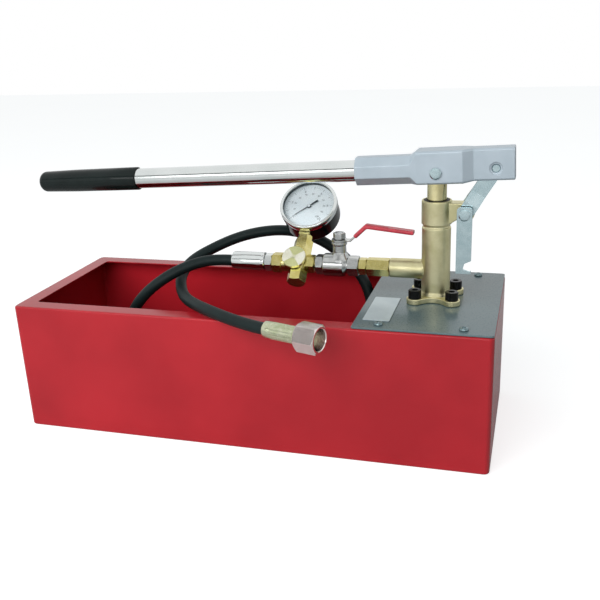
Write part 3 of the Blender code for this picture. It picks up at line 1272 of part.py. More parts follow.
def build_hose_fittings():
    """Nut and crimped ferrule where the hose leaves the manifold."""
    place = facing((MANIFOLD_LEFT - GAP, 0, PIPE_Z), (-1, 0, 0))
    nut = add_piece("hose_nut", "nickel", hexagon(HOSE_NUT_HEX, 0, HOSE_NUT_LENGTH), place)
    fuse(nut, soft_rod(MANIFOLD_THREAD_RADIUS, -HOSE_NUT_THREAD_LENGTH, HOSE_NUT_LENGTH / 2, SMALL_SIDES),
         place)
    tail_end = HOSE_NUT_LENGTH + HOSE_TAIL_LENGTH
    fuse(nut, soft_rod(HOSE_TAIL_RADIUS, HOSE_NUT_LENGTH / 2, tail_end, SMALL_SIDES), place)
    cut(nut, rod(MANIFOLD_BORE_RADIUS, -HOSE_NUT_THREAD_LENGTH - OVERRUN, tail_end + OVERRUN, SMALL_SIDES),
        place)
    start = HOSE_NUT_LENGTH + GAP
    end = start + HOSE_FERRULE_LENGTH
    waist = HOSE_FERRULE_RADIUS - HOSE_FERRULE_WAIST
    tail_room = tail_end + GAP
    profile = [
        (HOSE_TAIL_RADIUS + GAP, start),
        (HOSE_FERRULE_RADIUS - EDGE, start),
        (HOSE_FERRULE_RADIUS, start + EDGE),
        (HOSE_FERRULE_RADIUS, start + HOSE_FERRULE_LENGTH / 6),
        (waist, start + HOSE_FERRULE_LENGTH / 5),
        (waist, end - HOSE_FERRULE_LENGTH / 5),
        (HOSE_FERRULE_RADIUS, end - HOSE_FERRULE_LENGTH / 6),
        (HOSE_FERRULE_RADIUS, end - EDGE),
        (HOSE_FERRULE_RADIUS - EDGE, end),
        (HOSE_BORE_RADIUS, end),
        (HOSE_BORE_RADIUS, tail_room),
        (HOSE_TAIL_RADIUS + GAP, tail_room),
    ]
    add_piece("hose_ferrule", "chrome", turned(profile), place)


def smooth_route(points, leave, arrive, spacing):
    """Even points on the smooth curve through the route's own points, with its two end directions."""
    route = np.array(points)
    spans = np.linalg.norm(np.diff(route, axis=0), axis=1)
    count = len(route)
    left = np.eye(count)
    right = np.zeros((count, 3))
    right[0] = leave
    right[-1] = arrive
    for i in range(1, count - 1):
        before = spans[i - 1]
        after = spans[i]
        left[i, i - 1:i + 2] = (after, 2 * (before + after), before)
        right[i] = 3 * (after / before * (route[i] - route[i - 1]) + before / after * (route[i + 1] - route[i]))
    slopes = np.linalg.solve(left, right)
    fine = [route[0]]
    for i, span in enumerate(spans):
        for share in np.linspace(0, 1, HOSE_SPAN_STEPS + 1)[1:]:
            rise = share * share * (3 - 2 * share)
            lead = share * (1 - share) * (1 - share) * span
            trail = share * share * (share - 1) * span
            fine.append((1 - rise) * route[i] + rise * route[i + 1] + lead * slopes[i] + trail * slopes[i + 1])
    fine = np.array(fine)
    run = np.concatenate([[0], np.cumsum(np.linalg.norm(np.diff(fine, axis=0), axis=1))])
    marks = np.linspace(0, run[-1], round(run[-1] / spacing) + 1)
    even = np.stack([np.interp(marks, run, fine[:, axis]) for axis in range(3)], axis=1)
    return even, run[-1]


def least_gap_to_itself(points, diameter):
    """The least free space between strands of the hose that are not next to each other along it."""
    run = np.concatenate([[0], np.cumsum(np.linalg.norm(np.diff(points, axis=0), axis=1))])
    apart = np.linalg.norm(points[:, None] - points[None, :], axis=2)
    apart[abs(run[:, None] - run[None, :]) < HOSE_NEIGHBOUR_DIAMETERS * diameter] = np.inf
    return apart.min() - diameter


def build_hose():
    """The rubber hose, laid from the manifold through the tank and over the front rim."""
    leave = Vector((-1, 0, 0))
    middle, length = smooth_route(HOSE_RUN, tuple(leave), tuple(HOSE_END_ALONG), HOSE_POINT_SPACING)
    first = Vector((MANIFOLD_LEFT - HOSE_NUT_LENGTH - HOSE_FERRULE_LENGTH - 3 * GAP, 0, PIPE_Z))
    last = HOSE_RUN[-1]
    points = [first, first + HOSE_RADIUS * leave, *middle[1:-1], last - HOSE_RADIUS * HOSE_END_ALONG, last]
    add_tube("hose", "black_rubber", [tuple(point) for point in points], HOSE_RADIUS, 3)
    print("hose length", round(length, 4), "least gap",
          round(least_gap_to_itself(middle, 2 * HOSE_RADIUS), 4))


def build_hose_end(joint):
    """Crimped ferrule, nipple and swivel nut on the loose end of the hose."""
    place = facing(HOSE_RUN[-1], HOSE_END_ALONG)
    ferrule_end = GAP + END_FERRULE_LENGTH
    step = END_FERRULE_RADIUS - END_FERRULE_STEP
    tail_start = ferrule_end - HOSE_TAIL_LENGTH / 2
    profile = [
        (HOSE_BORE_RADIUS, GAP),
        (step - EDGE, GAP),
        (step, GAP + EDGE),
        (step, GAP + END_FERRULE_LENGTH / 5),
        (END_FERRULE_RADIUS, GAP + END_FERRULE_LENGTH / 4),
        (END_FERRULE_RADIUS, ferrule_end - EDGE),
        (END_FERRULE_RADIUS - EDGE, ferrule_end),
        (HOSE_TAIL_RADIUS + GAP, ferrule_end),
        (HOSE_TAIL_RADIUS + GAP, tail_start),
        (HOSE_BORE_RADIUS, tail_start),
    ]
    add_piece("end_ferrule", "yellow_zinc", turned(profile), place)
    collar = ferrule_end + GAP
    nut_start = collar + NIPPLE_COLLAR_LENGTH + SWIVEL_NUT_PLAY
    nut_floor = nut_start + SWIVEL_NUT_WALL
    head = nut_floor + GAP
    nipple = [
        (MANIFOLD_BORE_RADIUS, tail_start + GAP),
        (HOSE_TAIL_RADIUS, tail_start + GAP),
        (HOSE_TAIL_RADIUS, collar),
        (NIPPLE_COLLAR_RADIUS, collar),
        (NIPPLE_COLLAR_RADIUS, collar + NIPPLE_COLLAR_LENGTH),
        (NIPPLE_NECK_RADIUS, collar + NIPPLE_COLLAR_LENGTH),
        (NIPPLE_NECK_RADIUS, head),
        (NIPPLE_HEAD_RADIUS, head),
        (NIPPLE_HEAD_RADIUS, head + NIPPLE_HEAD_LENGTH / 3),
        (NIPPLE_NECK_RADIUS - EDGE, head + NIPPLE_HEAD_LENGTH),
        (MANIFOLD_BORE_RADIUS, head + NIPPLE_HEAD_LENGTH),
    ]
    add_piece("end_nipple", "steel", turned(nipple), place)
    joint.matrix_world = place
    nut = add_piece("swivel_nut", "zinc", hexagon(SWIVEL_NUT_HEX, nut_start, nut_start + SWIVEL_NUT_LENGTH),
                    place,
                    joint)
    mouth = nut_start + SWIVEL_NUT_LENGTH
    bores = [
        (0, nut_start - OVERRUN),
        (NIPPLE_NECK_RADIUS + GAP, nut_start - OVERRUN),
        (NIPPLE_NECK_RADIUS + GAP, nut_floor),
        (SWIVEL_NUT_BORE_RADIUS, nut_floor),
        (SWIVEL_NUT_BORE_RADIUS, mouth - EDGE),
        (SWIVEL_NUT_BORE_RADIUS + EDGE + OVERRUN, mouth + OVERRUN),
        (0, mouth + OVERRUN),
    ]
    cut(nut, turned(bores), place)


def chamfered(x, half_width, low, high, facet):
    """A cross-section of the lever's casting: a rectangle with its four corners cut off."""
    return [
        (x, half_width - facet, low), (x, half_width, low + facet),
        (x, half_width, high - facet), (x, half_width - facet, high),
        (x, facet - half_width, high), (x, -half_width, high - facet),
        (x, -half_width, low + facet), (x, facet - half_width, low),
    ]


def build_casting(joint):
    """Eight-sided neck, wide fork over the plunger and narrow fork over the link."""
    low = LEVER_AXIS_RISE - CASTING_NECK_HALF
    high = LEVER_AXIS_RISE + CASTING_NECK_HALF
    sections = [
        chamfered(-CASTING_LEFT, CASTING_NECK_HALF - EDGE, low + EDGE, high - EDGE, CASTING_NECK_FACET),
        chamfered(EDGE - CASTING_LEFT, CASTING_NECK_HALF, low, high, CASTING_NECK_FACET),
        chamfered(-CASTING_NECK_RIGHT, CASTING_NECK_HALF, low, high, CASTING_NECK_FACET),
        chamfered(-CASTING_FORK_LEFT, CASTING_FORK_HALF_WIDTH, -CASTING_FORK_BOTTOM, CASTING_FORK_TOP,
                  CASTING_EDGE),
        chamfered(CASTING_FORK_RIGHT, CASTING_FORK_HALF_WIDTH, -CASTING_FORK_BOTTOM, CASTING_FORK_TOP,
                  CASTING_EDGE),
        chamfered(CASTING_TIP_LEFT, CASTING_TIP_HALF_WIDTH, -CASTING_TIP_BOTTOM, CASTING_FORK_TOP,
                  CASTING_EDGE),
        chamfered(CASTING_TIP_RIGHT - EDGE, CASTING_TIP_HALF_WIDTH, -CASTING_TIP_BOTTOM, CASTING_FORK_TOP,
                  CASTING_EDGE),
        chamfered(CASTING_TIP_RIGHT, CASTING_TIP_HALF_WIDTH - EDGE, EDGE - CASTING_TIP_BOTTOM,
                  CASTING_FORK_TOP - EDGE, CASTING_EDGE),
    ]
    casting = add_piece("lever_casting", "painted_casting", skin(sections, "closed"), LEVER_FRAME, joint)
    wide = CASTING_CAVITY_HALF_WIDTH
    slim = CASTING_SLOT_HALF_WIDTH
    slot_end = CASTING_TIP_RIGHT - CASTING_TIP_WALL
    plan = [(-CASTING_CAVITY_LEFT, -wide), (CASTING_CAVITY_STEP, -wide), (CASTING_CAVITY_NARROW, -slim),
            (slot_end, -slim), (slot_end, slim), (CASTING_CAVITY_NARROW, slim), (CASTING_CAVITY_STEP, wide),
            (-CASTING_CAVITY_LEFT, wide)]
    cut(casting, prism(plan, -CASTING_FORK_BOTTOM - OVERRUN, CASTING_FORK_TOP - CASTING_ROOF), LEVER_FRAME)
    tube_axis = LEVER_FRAME @ facing((-CASTING_LEFT, 0, LEVER_AXIS_RISE), (1, 0, 0))
    cut(casting, rod(LEVER_TUBE_RADIUS + GAP, -OVERRUN, CASTING_SOCKET_DEPTH), tube_axis)
    across = CASTING_FORK_HALF_WIDTH + OVERRUN
    cut(casting, rod(PLUNGER_PIN_RADIUS + GAP, -across, across, SMALL_SIDES), LEVER_FRAME @ SIDE_VIEW)
    link_pin = Matrix.Translation(LINK_PIN_AT) @ SIDE_VIEW
    cut(casting, rod(LINK_PIN_RADIUS + GAP, -across, across, SMALL_SIDES), link_pin)
    recess = CASTING_TIP_HALF_WIDTH - LINK_PIN_RECESS_DEPTH
    cut(casting, rod(LINK_PIN_RECESS_RADIUS, recess, across), link_pin)
    cut(casting, rod(LINK_PIN_RECESS_RADIUS, -across, -recess), link_pin)


def build_lever_tube(joint):
    """Chromed tube in the casting's socket, with the grip pushed over its other end."""
    place = LEVER_FRAME @ facing((-CASTING_LEFT + CASTING_SOCKET_DEPTH - GAP, 0, LEVER_AXIS_RISE),
                                 (-1, 0, 0))
    add_piece("lever_tube", "chrome",
              tube(LEVER_TUBE_RADIUS - LEVER_TUBE_WALL, LEVER_TUBE_RADIUS, 0,
                   LEVER_TUBE_LENGTH), place, joint)
    tip = LEVER_TUBE_LENGTH + GRIP_OVERHANG
    start = tip - GRIP_LENGTH
    bore = LEVER_TUBE_RADIUS + GAP
    rounding = arc((0, 0), 1, 0, math.pi / 2, 4)
    cap = [(GRIP_TIP_RADIUS * x, tip - GRIP_TIP_ROUNDING + GRIP_TIP_ROUNDING * y) for x, y in rounding[:-1]]
    profile = [
        (bore, start),
        (GRIP_RADIUS - EDGE, start),
        (GRIP_RADIUS, start + EDGE),
        *cap,
        (0, tip),
        (0, LEVER_TUBE_LENGTH + GAP),
        (bore, LEVER_TUBE_LENGTH + GAP),
    ]
    profile = profile[-2:] + profile[:-2]
    add_piece("lever_grip", "black_plastic", turned(profile), place, joint)


def pin(radius, head_radius, back, front):
    """A pin along its own Z axis with a domed head outside each end of its grip."""
    dome = head_radius * PIN_DOME_SHARE
    return turned([
        (0, -back - PIN_HEAD_HEIGHT),
        (dome, -back - PIN_HEAD_HEIGHT),
        (head_radius, -back - PIN_HEAD_HEIGHT / 2),
        (head_radius, -back),
        (radius, -back),
        (radius, front),
        (head_radius, front),
        (head_radius, front + PIN_HEAD_HEIGHT / 2),
        (dome, front + PIN_HEAD_HEIGHT),
        (0, front + PIN_HEAD_HEIGHT),
    ], SMALL_SIDES)


def build_pins(lever_joint):
    """The three pins of the lever linkage."""
    grip = CASTING_FORK_HALF_WIDTH + GAP
    add_piece("plunger_pin", "zinc", pin(PLUNGER_PIN_RADIUS, PLUNGER_PIN_HEAD_RADIUS, grip, grip),
              Matrix.Translation(PLUNGER_PIN_AT) @ SIDE_VIEW, lever_joint)
    grip = CASTING_TIP_HALF_WIDTH
    add_piece("link_pin", "zinc", soft_rod(LINK_PIN_RADIUS, -grip, grip, SMALL_SIDES),
              Matrix.Translation(LINK_PIN_AT) @ SIDE_VIEW, lever_joint)
    back = LINK_FOOT_SPREAD + LINK_SHEET + GAP
    front = HOOK_BACK_Y + HOOK_SHEET + GAP
    add_piece("pivot_pin", "zinc", pin(PIVOT_PIN_RADIUS, PIVOT_PIN_HEAD_RADIUS, back, front),
              Matrix.Translation(LUG_AT) @ SIDE_VIEW)


def link_half_width(along):
    """Half the width of the link plate at a place along it."""
    if along < 0:
        return math.sqrt(max(LINK_FOOT_RADIUS**2 - along**2, EDGE**2))
    eye = LINK_EYE_RADIUS**2 - (along - LINK_LENGTH) ** 2
    if along > LINK_LENGTH or eye > LINK_FOOT_RADIUS**2:
        return math.sqrt(max(eye, EDGE**2))
    return LINK_FOOT_RADIUS


def link_spread(along):
    """How far the inner face of the link plate lies from the middle plane."""
    share = (along - LINK_JOGGLE_START) / (LINK_JOGGLE_END - LINK_JOGGLE_START)
    share = min(max(share, 0), 1)
    return LINK_FOOT_SPREAD + share * (LINK_EYE_SPREAD - LINK_FOOT_SPREAD)


def build_links(joint):
    """Two joggled plates that tie the lever's tip to the lug."""
    quarter = [math.pi / 2 * i / LINK_ARC_STEPS for i in range(LINK_ARC_STEPS)]
    stations = [-LINK_FOOT_RADIUS * math.cos(angle) for angle in quarter]
    stations += [0, LINK_JOGGLE_START, LINK_JOGGLE_END]
    neck = math.acos(math.sqrt(1 - (LINK_FOOT_RADIUS / LINK_EYE_RADIUS) ** 2))
    sweep = [math.pi - neck - (math.pi - neck) * i / (2 * LINK_ARC_STEPS) for i in range(2 * LINK_ARC_STEPS + 1)]
    stations += [LINK_LENGTH + LINK_EYE_RADIUS * math.cos(angle) for angle in sweep]
    across = Vector((-LINK_ALONG.z, 0, LINK_ALONG.x))
    for name, side in (("link_front", -1), ("link_back", 1)):
        rings = []
        for along in stations:
            half = link_half_width(along)
            near = link_spread(along)
            ring = []
            for width, spread in ((-half, near), (half, near), (half, near + LINK_SHEET),
                                  (-half, near + LINK_SHEET)):
                ring.append(along * LINK_ALONG + width * across + Vector((0, side * spread, 0)))
            rings.append(ring)
        link = add_piece(name, "zinc", skin(rings, "closed"), Matrix.Translation(LUG_AT), joint)
        reach = LINK_FOOT_SPREAD + LINK_SHEET + OVERRUN
        cut(link, rod(PIVOT_PIN_RADIUS + GAP, -reach, reach, SMALL_SIDES),
            Matrix.Translation(LUG_AT) @ SIDE_VIEW)
        cut(link, rod(LINK_EYE_HOLE_RADIUS, -reach, reach), Matrix.Translation(LINK_PIN_AT) @ SIDE_VIEW)


def build_hook(joint):
    """Flat hook that locks the lever down for carrying, with its mouth towards the right."""
    half = HOOK_HALF_WIDTH
    round_at = half - HOOK_CORNER
    outline = [
        (-half, -HOOK_LENGTH),
        (half, -HOOK_LENGTH),
        (half, -HOOK_LIP_TOP + HOOK_LIP_TIP),
        (half - HOOK_LIP_TIP, -HOOK_LIP_TOP),
        (HOOK_THROAT_BACK, -HOOK_THROAT_BOTTOM),
        (HOOK_THROAT_REACH, -HOOK_THROAT_TOP),
        (half, -HOOK_MOUTH_TOP),
        *arc((round_at, round_at), HOOK_CORNER, 0, math.pi / 2, 3),
        *arc((-round_at, round_at), HOOK_CORNER, math.pi / 2, math.pi, 3),
    ]
    place = Matrix.Translation(LUG_AT) @ SIDE_VIEW
    hook = add_piece("transport_hook", "zinc", prism(outline, HOOK_BACK_Y, HOOK_BACK_Y + HOOK_SHEET), place,
                     joint)
    hole = rod(PIVOT_PIN_RADIUS + GAP, HOOK_BACK_Y - OVERRUN, HOOK_BACK_Y + HOOK_SHEET + OVERRUN,
               SMALL_SIDES)
    cut(hook, hole, place)


def main():
    clear_scene()
    pipe_middle = (VALVE_X, 0, PIPE_Z)
    plunger = add_joint("plunger_axis", PLUNGER_PIN_AT)
    lever = add_joint("lever_axis", PLUNGER_PIN_AT, plunger)
    link = add_joint("link_axis", LUG_AT)
    hook = add_joint("hook_axis", LUG_AT)
    suction_ball = add_joint("suction_ball_axis", (PUMP_X, 0, BODY_BASE))
    pressure_ball = add_joint("pressure_ball_axis", (SPIGOT_END_X, 0, PIPE_Z))
    valve = add_joint("valve_axis", pipe_middle)
    spindle = add_joint("spindle_axis", (KNOB_X, 0, PIPE_Z))
    knob = add_joint("knob_axis", (KNOB_X, 0, PIPE_Z), spindle)
    pointer = add_joint("pointer_axis", GAUGE_FRAME.translation)
    swivel = add_joint("swivel_axis", HOSE_RUN[-1])

    build_tank()
    build_cover()
    build_body()
    build_flange_screws()
    build_plunger(plunger)
    build_suction_side(suction_ball)
    build_pressure_side(pressure_ball)
    build_adapter()
    build_valve_body()
    build_valve_handle(valve)
    build_manifold()
    build_release_valve(spindle, knob)
    build_gauge()
    build_pointer(pointer)
    build_hose_fittings()
    build_hose()
    build_hose_end(swivel)
    build_casting(lever)
    build_lever_tube(lever)
    build_pins(lever)
    build_links(link)
    build_hook(hook)


if __name__ == "__main__":
    main()
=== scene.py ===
"""Looks of a hand pressure test pump: its visible pieces, modelled and dressed in the pump's own frame."""

import math

import bpy
import numpy as np
from bpy.props import FloatProperty, FloatVectorProperty, IntProperty, PointerProperty
from mathutils import Matrix, Vector


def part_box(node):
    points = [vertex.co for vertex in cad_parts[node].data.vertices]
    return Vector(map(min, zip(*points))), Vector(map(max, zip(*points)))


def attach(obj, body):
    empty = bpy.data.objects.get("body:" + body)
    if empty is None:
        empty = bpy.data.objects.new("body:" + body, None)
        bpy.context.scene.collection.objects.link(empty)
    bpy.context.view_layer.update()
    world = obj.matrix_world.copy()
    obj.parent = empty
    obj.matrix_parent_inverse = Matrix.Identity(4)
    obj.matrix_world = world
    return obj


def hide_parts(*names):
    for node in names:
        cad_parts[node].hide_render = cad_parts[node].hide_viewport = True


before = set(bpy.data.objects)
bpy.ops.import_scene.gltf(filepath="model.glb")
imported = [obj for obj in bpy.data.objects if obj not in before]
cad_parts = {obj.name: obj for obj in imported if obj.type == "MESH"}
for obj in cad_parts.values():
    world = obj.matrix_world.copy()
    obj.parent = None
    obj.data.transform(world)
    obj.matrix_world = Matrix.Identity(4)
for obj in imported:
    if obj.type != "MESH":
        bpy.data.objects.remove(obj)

bl_info = {
    "name": "Hand Pressure Test Pump",
    "version": (1, 0, 0),
    "blender": (4, 5, 0),
    "location": "View3D > Sidebar > Test Pump",
    "description": "Builds and dresses the pieces of a hand pressure test pump",
    "category": "Object",
}

# Small sizes that many pieces share, in metres
POLE = 2e-6
MERGE = 1e-5
GAP = 0.0003
EDGE = 0.0006

# Sides of what is turned
AROUND = 96
FEW_SIDES = 48
MANY_SIDES = 128

# Heights over the tank's underside, and the axes that the pieces share
COVER_TOP = 0.1427
BODY_BASE = 0.1430
FLANGE_TOP = 0.1486
BODY_TOP = 0.2450
PIPE_Z = 0.1733
PUMP_X = 0.185
VALVE_X = 0.086
PORT_X = 0.0422
KNOB_X = 0.0387
LUG_AT = Vector((0.2135, 0, 0.234))
LINK_PIN_AT = Vector((0.24052, 0, 0.27749))
PLUNGER_PIN_AT = Vector((0.185, 0, 0.273))

# Cover plate
COVER_CORNER = 0.003

# Pump body
BODY_FOOT = 0.128
BOSS_RADIUS = 0.0105
FOOT_RADIUS = 0.0158
CYLINDER_RADIUS = 0.0143
GROOVE_RADIUS = 0.0133
COLLAR_RADIUS = 0.01485
WIPER_BORE = 0.0129
PLUNGER_BORE = 0.0100
PLUNGER_RADIUS = 0.0095
FLANGE_SCREW_PITCH = 0.0365
FLANGE_EAR_RADIUS = 0.0083
FLANGE_EAR_ARC = math.radians(80)
FLANGE_WAIST = 0.0172
LUG_ROOT = 0.004
LUG_REACH = 0.0285
LUG_RADIUS = 0.0088
LUG_HALF_WIDTH = 0.008
LUG_ROOT_DROP = 0.0225
SPIGOT_RADIUS = 0.0100
SPIGOT_REACH = 0.0463
SCREW_SOCKET_FLATS = 0.006
SCREW_SOCKET_DEPTH = 0.004
SHANK_RADIUS = 0.004
PIN_HEAD = 0.0020

# Lever
LEVER_TILT = math.radians(2.69)
LEVER_AXIS_RISE = 0.0029
TUBE_START = 0.0363
TUBE_LENGTH = 0.381
TUBE_WALL = 0.002
GRIP_START = 0.284
GRIP_WAIST = 0.36
GRIP_TIP = 0.4044
GRIP_TIP_RADIUS = 0.0112
GRIP_TIP_ROUNDING = 0.007

# Hexagons across their flats, and the bore of the stem's nut
VALVE_FLATS = 0.019
STEM_NUT_FLATS = 0.0115
STEM_BORE = 0.0036
ADAPTER_FLATS = 0.017
LOCKNUT_FLATS = 0.016
CROSS_LEFT_FLATS = 0.019
CROSS_RIGHT_FLATS = 0.017
NECK_FLATS = 0.018
PLUG_FLATS = 0.018
GAUGE_SOCKET_FLATS = 0.014
HOSE_NUT_FLATS = 0.017
UNION_FLATS = 0.025

# Cross fitting and gauge, which lean back about the pipe
LEAN_ANGLE = math.radians(47.2)
GAUGE_REACH = 0.067
GAUGE_START = math.radians(220)
GAUGE_SWEEP = math.radians(270)
CASE_RADIUS = 0.0307
CASE_INNER = 0.0292
CASE_BACK = -0.0148
CASE_FLOOR = -0.0125
CASE_FRONT = 0.0102
CASE_BEND = 0.003
DIAL_RADIUS = 0.0289
DIAL_BACK = 0.0065
DIAL_FACE = 0.0073
DIAL_PRINT = GAP / 10
MARK_OUTER = 0.0262
MARKS_PER_DIVISION = 5
KNOB_BACK = 0.0102
KNOB_FRONT = 0.0143
# Turn and edge softness of the fans of painted shade on the knob
KNOB_FAN_TURN = math.radians(35)
KNOB_FAN_EDGE = 3e-6

# Hose
HOSE_RADIUS = 0.006
HOSE_END_TURN = math.radians(-17)
HOSE_END_WAY = (math.cos(HOSE_END_TURN), math.sin(HOSE_END_TURN), 0)
HOSE_SPAN_STEPS = 12
FERRULE_BORE = 0.0062
END_FLUTES = 22
END_FLUTE_TOP = 0.0082
END_FLUTE_DEPTH = 0.0003
UNION_BORE = 0.0103
UNION_THREADS = 9
UNION_PITCH = 0.0016
UNION_THREAD_DEPTH = 0.0006
HOSE_ROUTE = [
    (-0.0320, 0.0000, 0.1733), (-0.0570, -0.0035, 0.1730), (-0.0870, -0.0195, 0.1660),
    (-0.1205, -0.0310, 0.1445), (-0.1485, -0.0275, 0.1080), (-0.1520, -0.0180, 0.0600),
    (-0.1255, -0.0030, 0.0235), (-0.0760, 0.0125, 0.0090), (-0.0140, 0.0260, 0.0080),
    (0.0415, 0.0415, 0.0150), (0.0850, 0.0505, 0.0455), (0.1050, 0.0580, 0.0900),
    (0.1035, 0.0630, 0.1210), (0.0900, 0.0675, 0.1450), (0.0695, 0.0740, 0.1630),
    (0.0420, 0.0780, 0.1785), (0.0120, 0.0725, 0.1885), (-0.0200, 0.0610, 0.1895),
    (-0.0500, 0.0525, 0.1825), (-0.0730, 0.0385, 0.1735), (-0.0900, 0.0140, 0.1635),
    (-0.0915, -0.0080, 0.1545), (-0.0830, -0.0290, 0.1475), (-0.0670, -0.0530, 0.1460),
    (-0.0360, -0.0825, 0.1478), (0.0050, -0.1070, 0.1470), (0.0435, -0.1225, 0.1463),
]

# Camera, solved from the tank's corners
CAMERA_AT = Vector((0.27931, -0.77943, 0.41860))
CAMERA_AZIMUTH = math.radians(17.017)
CAMERA_DOWN = math.radians(19.374)
CAMERA_ROLL = math.radians(-2.421)
CAMERA_LENS = 48.293
CAMERA_SENSOR = 36.0

# Stage: what the floor gives to the camera and in reflections, and the room's colours from below to above
FLOOR_LIFT = 0.75
FLOOR_MIRRORED = 0.2
ROOM_STEPS = ((0.0, "3A4040"), (0.10, "454C4C"), (0.22, "A4AEB0"), (0.42, "F4FAFC"), (1.0, "B8C4C8"))

# Colour sockets of a Mix node, which shares their names with its other sockets
MIX_A = 6
MIX_B = 7
MIX_RESULT = 2

# Frames in which pieces are turned or extruded along local Z
SIDE_VIEW = Matrix.Rotation(math.pi / 2, 4, "X")
LEAN = Matrix.Rotation(math.pi / 2 - LEAN_ANGLE, 4, "X")
LEVER_FRAME = Matrix.Translation(PLUNGER_PIN_AT) @ Matrix.Rotation(-LEVER_TILT, 4, "Y")
PORT_FRAME = Matrix.Translation((PORT_X, 0, PIPE_Z)) @ LEAN
KNOB_FRAME = Matrix.Translation((KNOB_X, 0, PIPE_Z)) @ LEAN
GAUGE_FRAME = PORT_FRAME @ Matrix.Translation((0, GAUGE_REACH, 0))


def linear(code):
    """Linear colour of an sRGB hex code such as B4343A."""
    channels = []
    for start in (0, 2, 4):
        value = int(code[start:start + 2], 16) / 255
        channels.append(value / 12.92 if value <= 0.04045 else ((value + 0.055) / 1.055) ** 2.4)
    return (*channels, 1.0)


def colour_of(colour):
    """Linear colour, from an sRGB hex code or from a colour property, which is linear already."""
    return linear(colour) if isinstance(colour, str) else (*colour, 1.0)


# Modelling

def deselect():
    """Leave nothing selected."""
    if bpy.context.mode != "OBJECT":
        bpy.ops.object.mode_set(mode="OBJECT")
    bpy.ops.object.select_all(action="DESELECT")


def activate(piece):
    """Make the piece the only selected object and the active one."""
    deselect()
    piece.select_set(True)
    bpy.context.view_layer.objects.active = piece


def facing(at, along):
    """Place at a point, with local Z along a direction."""
    return Matrix.Translation(at) @ Vector(along).to_track_quat("Z", "Y").to_matrix().to_4x4()


def placed(piece, place):
    """Move the piece's mesh to its place and leave the object at the origin."""
    activate(piece)
    piece.matrix_world = place @ piece.matrix_world
    bpy.ops.object.transform_apply(location=True, rotation=True, scale=True)
    return piece


def apply_modifier(piece, kind, **settings):
    """Add a modifier with these settings and apply it."""
    modifier = piece.modifiers.new(kind.title(), kind)
    for setting, value in settings.items():
        setattr(modifier, setting, value)
    activate(piece)
    bpy.ops.object.modifier_apply(modifier=modifier.name)
    return piece


def soften(piece, width, angle=30, segments=2):
    """Round the piece's sharp edges, and shade the rest smooth."""
    apply_modifier(piece, "BEVEL", width=width, segments=segments, limit_method="ANGLE",
                   angle_limit=math.radians(angle))
    shade(piece, angle)
    return apply_modifier(piece, "WEIGHTED_NORMAL", keep_sharp=True)


def shade(piece, angle=30):
    """Shade smooth but for edges sharper than the angle."""
    activate(piece)
    bpy.ops.object.shade_smooth_by_angle(angle=math.radians(angle))
    return piece


def join(name, *pieces):
    """Join several meshes in one object."""
    activate(pieces[0])
    for piece in pieces[1:]:
        piece.select_set(True)
    bpy.ops.object.join()
    pieces[0].name = name
    return pieces[0]


def carve(piece, tool, operation="DIFFERENCE"):
    """Cut a tool's form from the piece, or keep only what lies in it, and remove the tool."""
    apply_modifier(piece, "BOOLEAN", object=tool, operation=operation, solver="EXACT")
    bpy.data.objects.remove(tool)
    return piece


def recalculate(piece, merge=MERGE):
    """Merge double vertices and point the faces outwards."""
    activate(piece)
    bpy.ops.object.mode_set(mode="EDIT")
    bpy.ops.mesh.select_all(action="SELECT")
    bpy.ops.mesh.remove_doubles(threshold=merge)
    bpy.ops.mesh.normals_make_consistent(inside=False)
    bpy.ops.object.mode_set(mode="OBJECT")
    return piece


def cast(piece, voxel, rounds, factor=0.5):
    """Melt a joined form to one skin with soft corners, as a sand casting has."""
    activate(piece)
    piece.data.remesh_voxel_size = voxel
    bpy.ops.object.voxel_remesh()
    apply_modifier(piece, "SMOOTH", factor=factor, iterations=rounds)
    activate(piece)
    bpy.ops.object.shade_smooth()
    return piece


def arc(centre, radius, start, end, steps):
    """Points on an arc, both ends included."""
    turns = [start + (end - start) * i / steps for i in range(steps + 1)]
    return [(centre[0] + radius * math.cos(turn), centre[1] + radius * math.sin(turn)) for turn in turns]


def grooved(radius, depth, pattern, repeats):
    """Outline of a round with grooves. The pattern has a 1 at each point of a repeat that is cut in."""
    cuts = pattern * repeats
    outline = []
    for i, cut in enumerate(cuts):
        turn = 2 * math.pi * i / len(cuts)
        reach = radius - depth * cut
        outline.append((reach * math.cos(turn), reach * math.sin(turn)))
    return outline


def turned(name, profile, place=Matrix(), around=AROUND, ring=False):
    """Turn a profile of (radius, height) about local Z, as a lathe does. A ring's profile is closed."""
    deselect()
    stops = [(max(radius, POLE), height) for radius, height in profile]
    if ring:
        stops.append(stops[0])
    radius, height = stops[0]
    bpy.ops.mesh.primitive_circle_add(vertices=around, radius=radius, location=(0, 0, height))
    piece = bpy.context.object
    piece.name = name
    bpy.ops.object.mode_set(mode="EDIT")
    bpy.ops.mesh.select_all(action="SELECT")
    for next_radius, next_height in stops[1:]:
        bpy.ops.mesh.extrude_region_move(TRANSFORM_OT_translate={"value": (0, 0, next_height - height)})
        grow = next_radius / radius
        bpy.ops.transform.resize(value=(grow, grow, 1), center_override=(0, 0, next_height))
        radius, height = next_radius, next_height
    bpy.ops.object.mode_set(mode="OBJECT")
    recalculate(piece)
    return placed(piece, place)


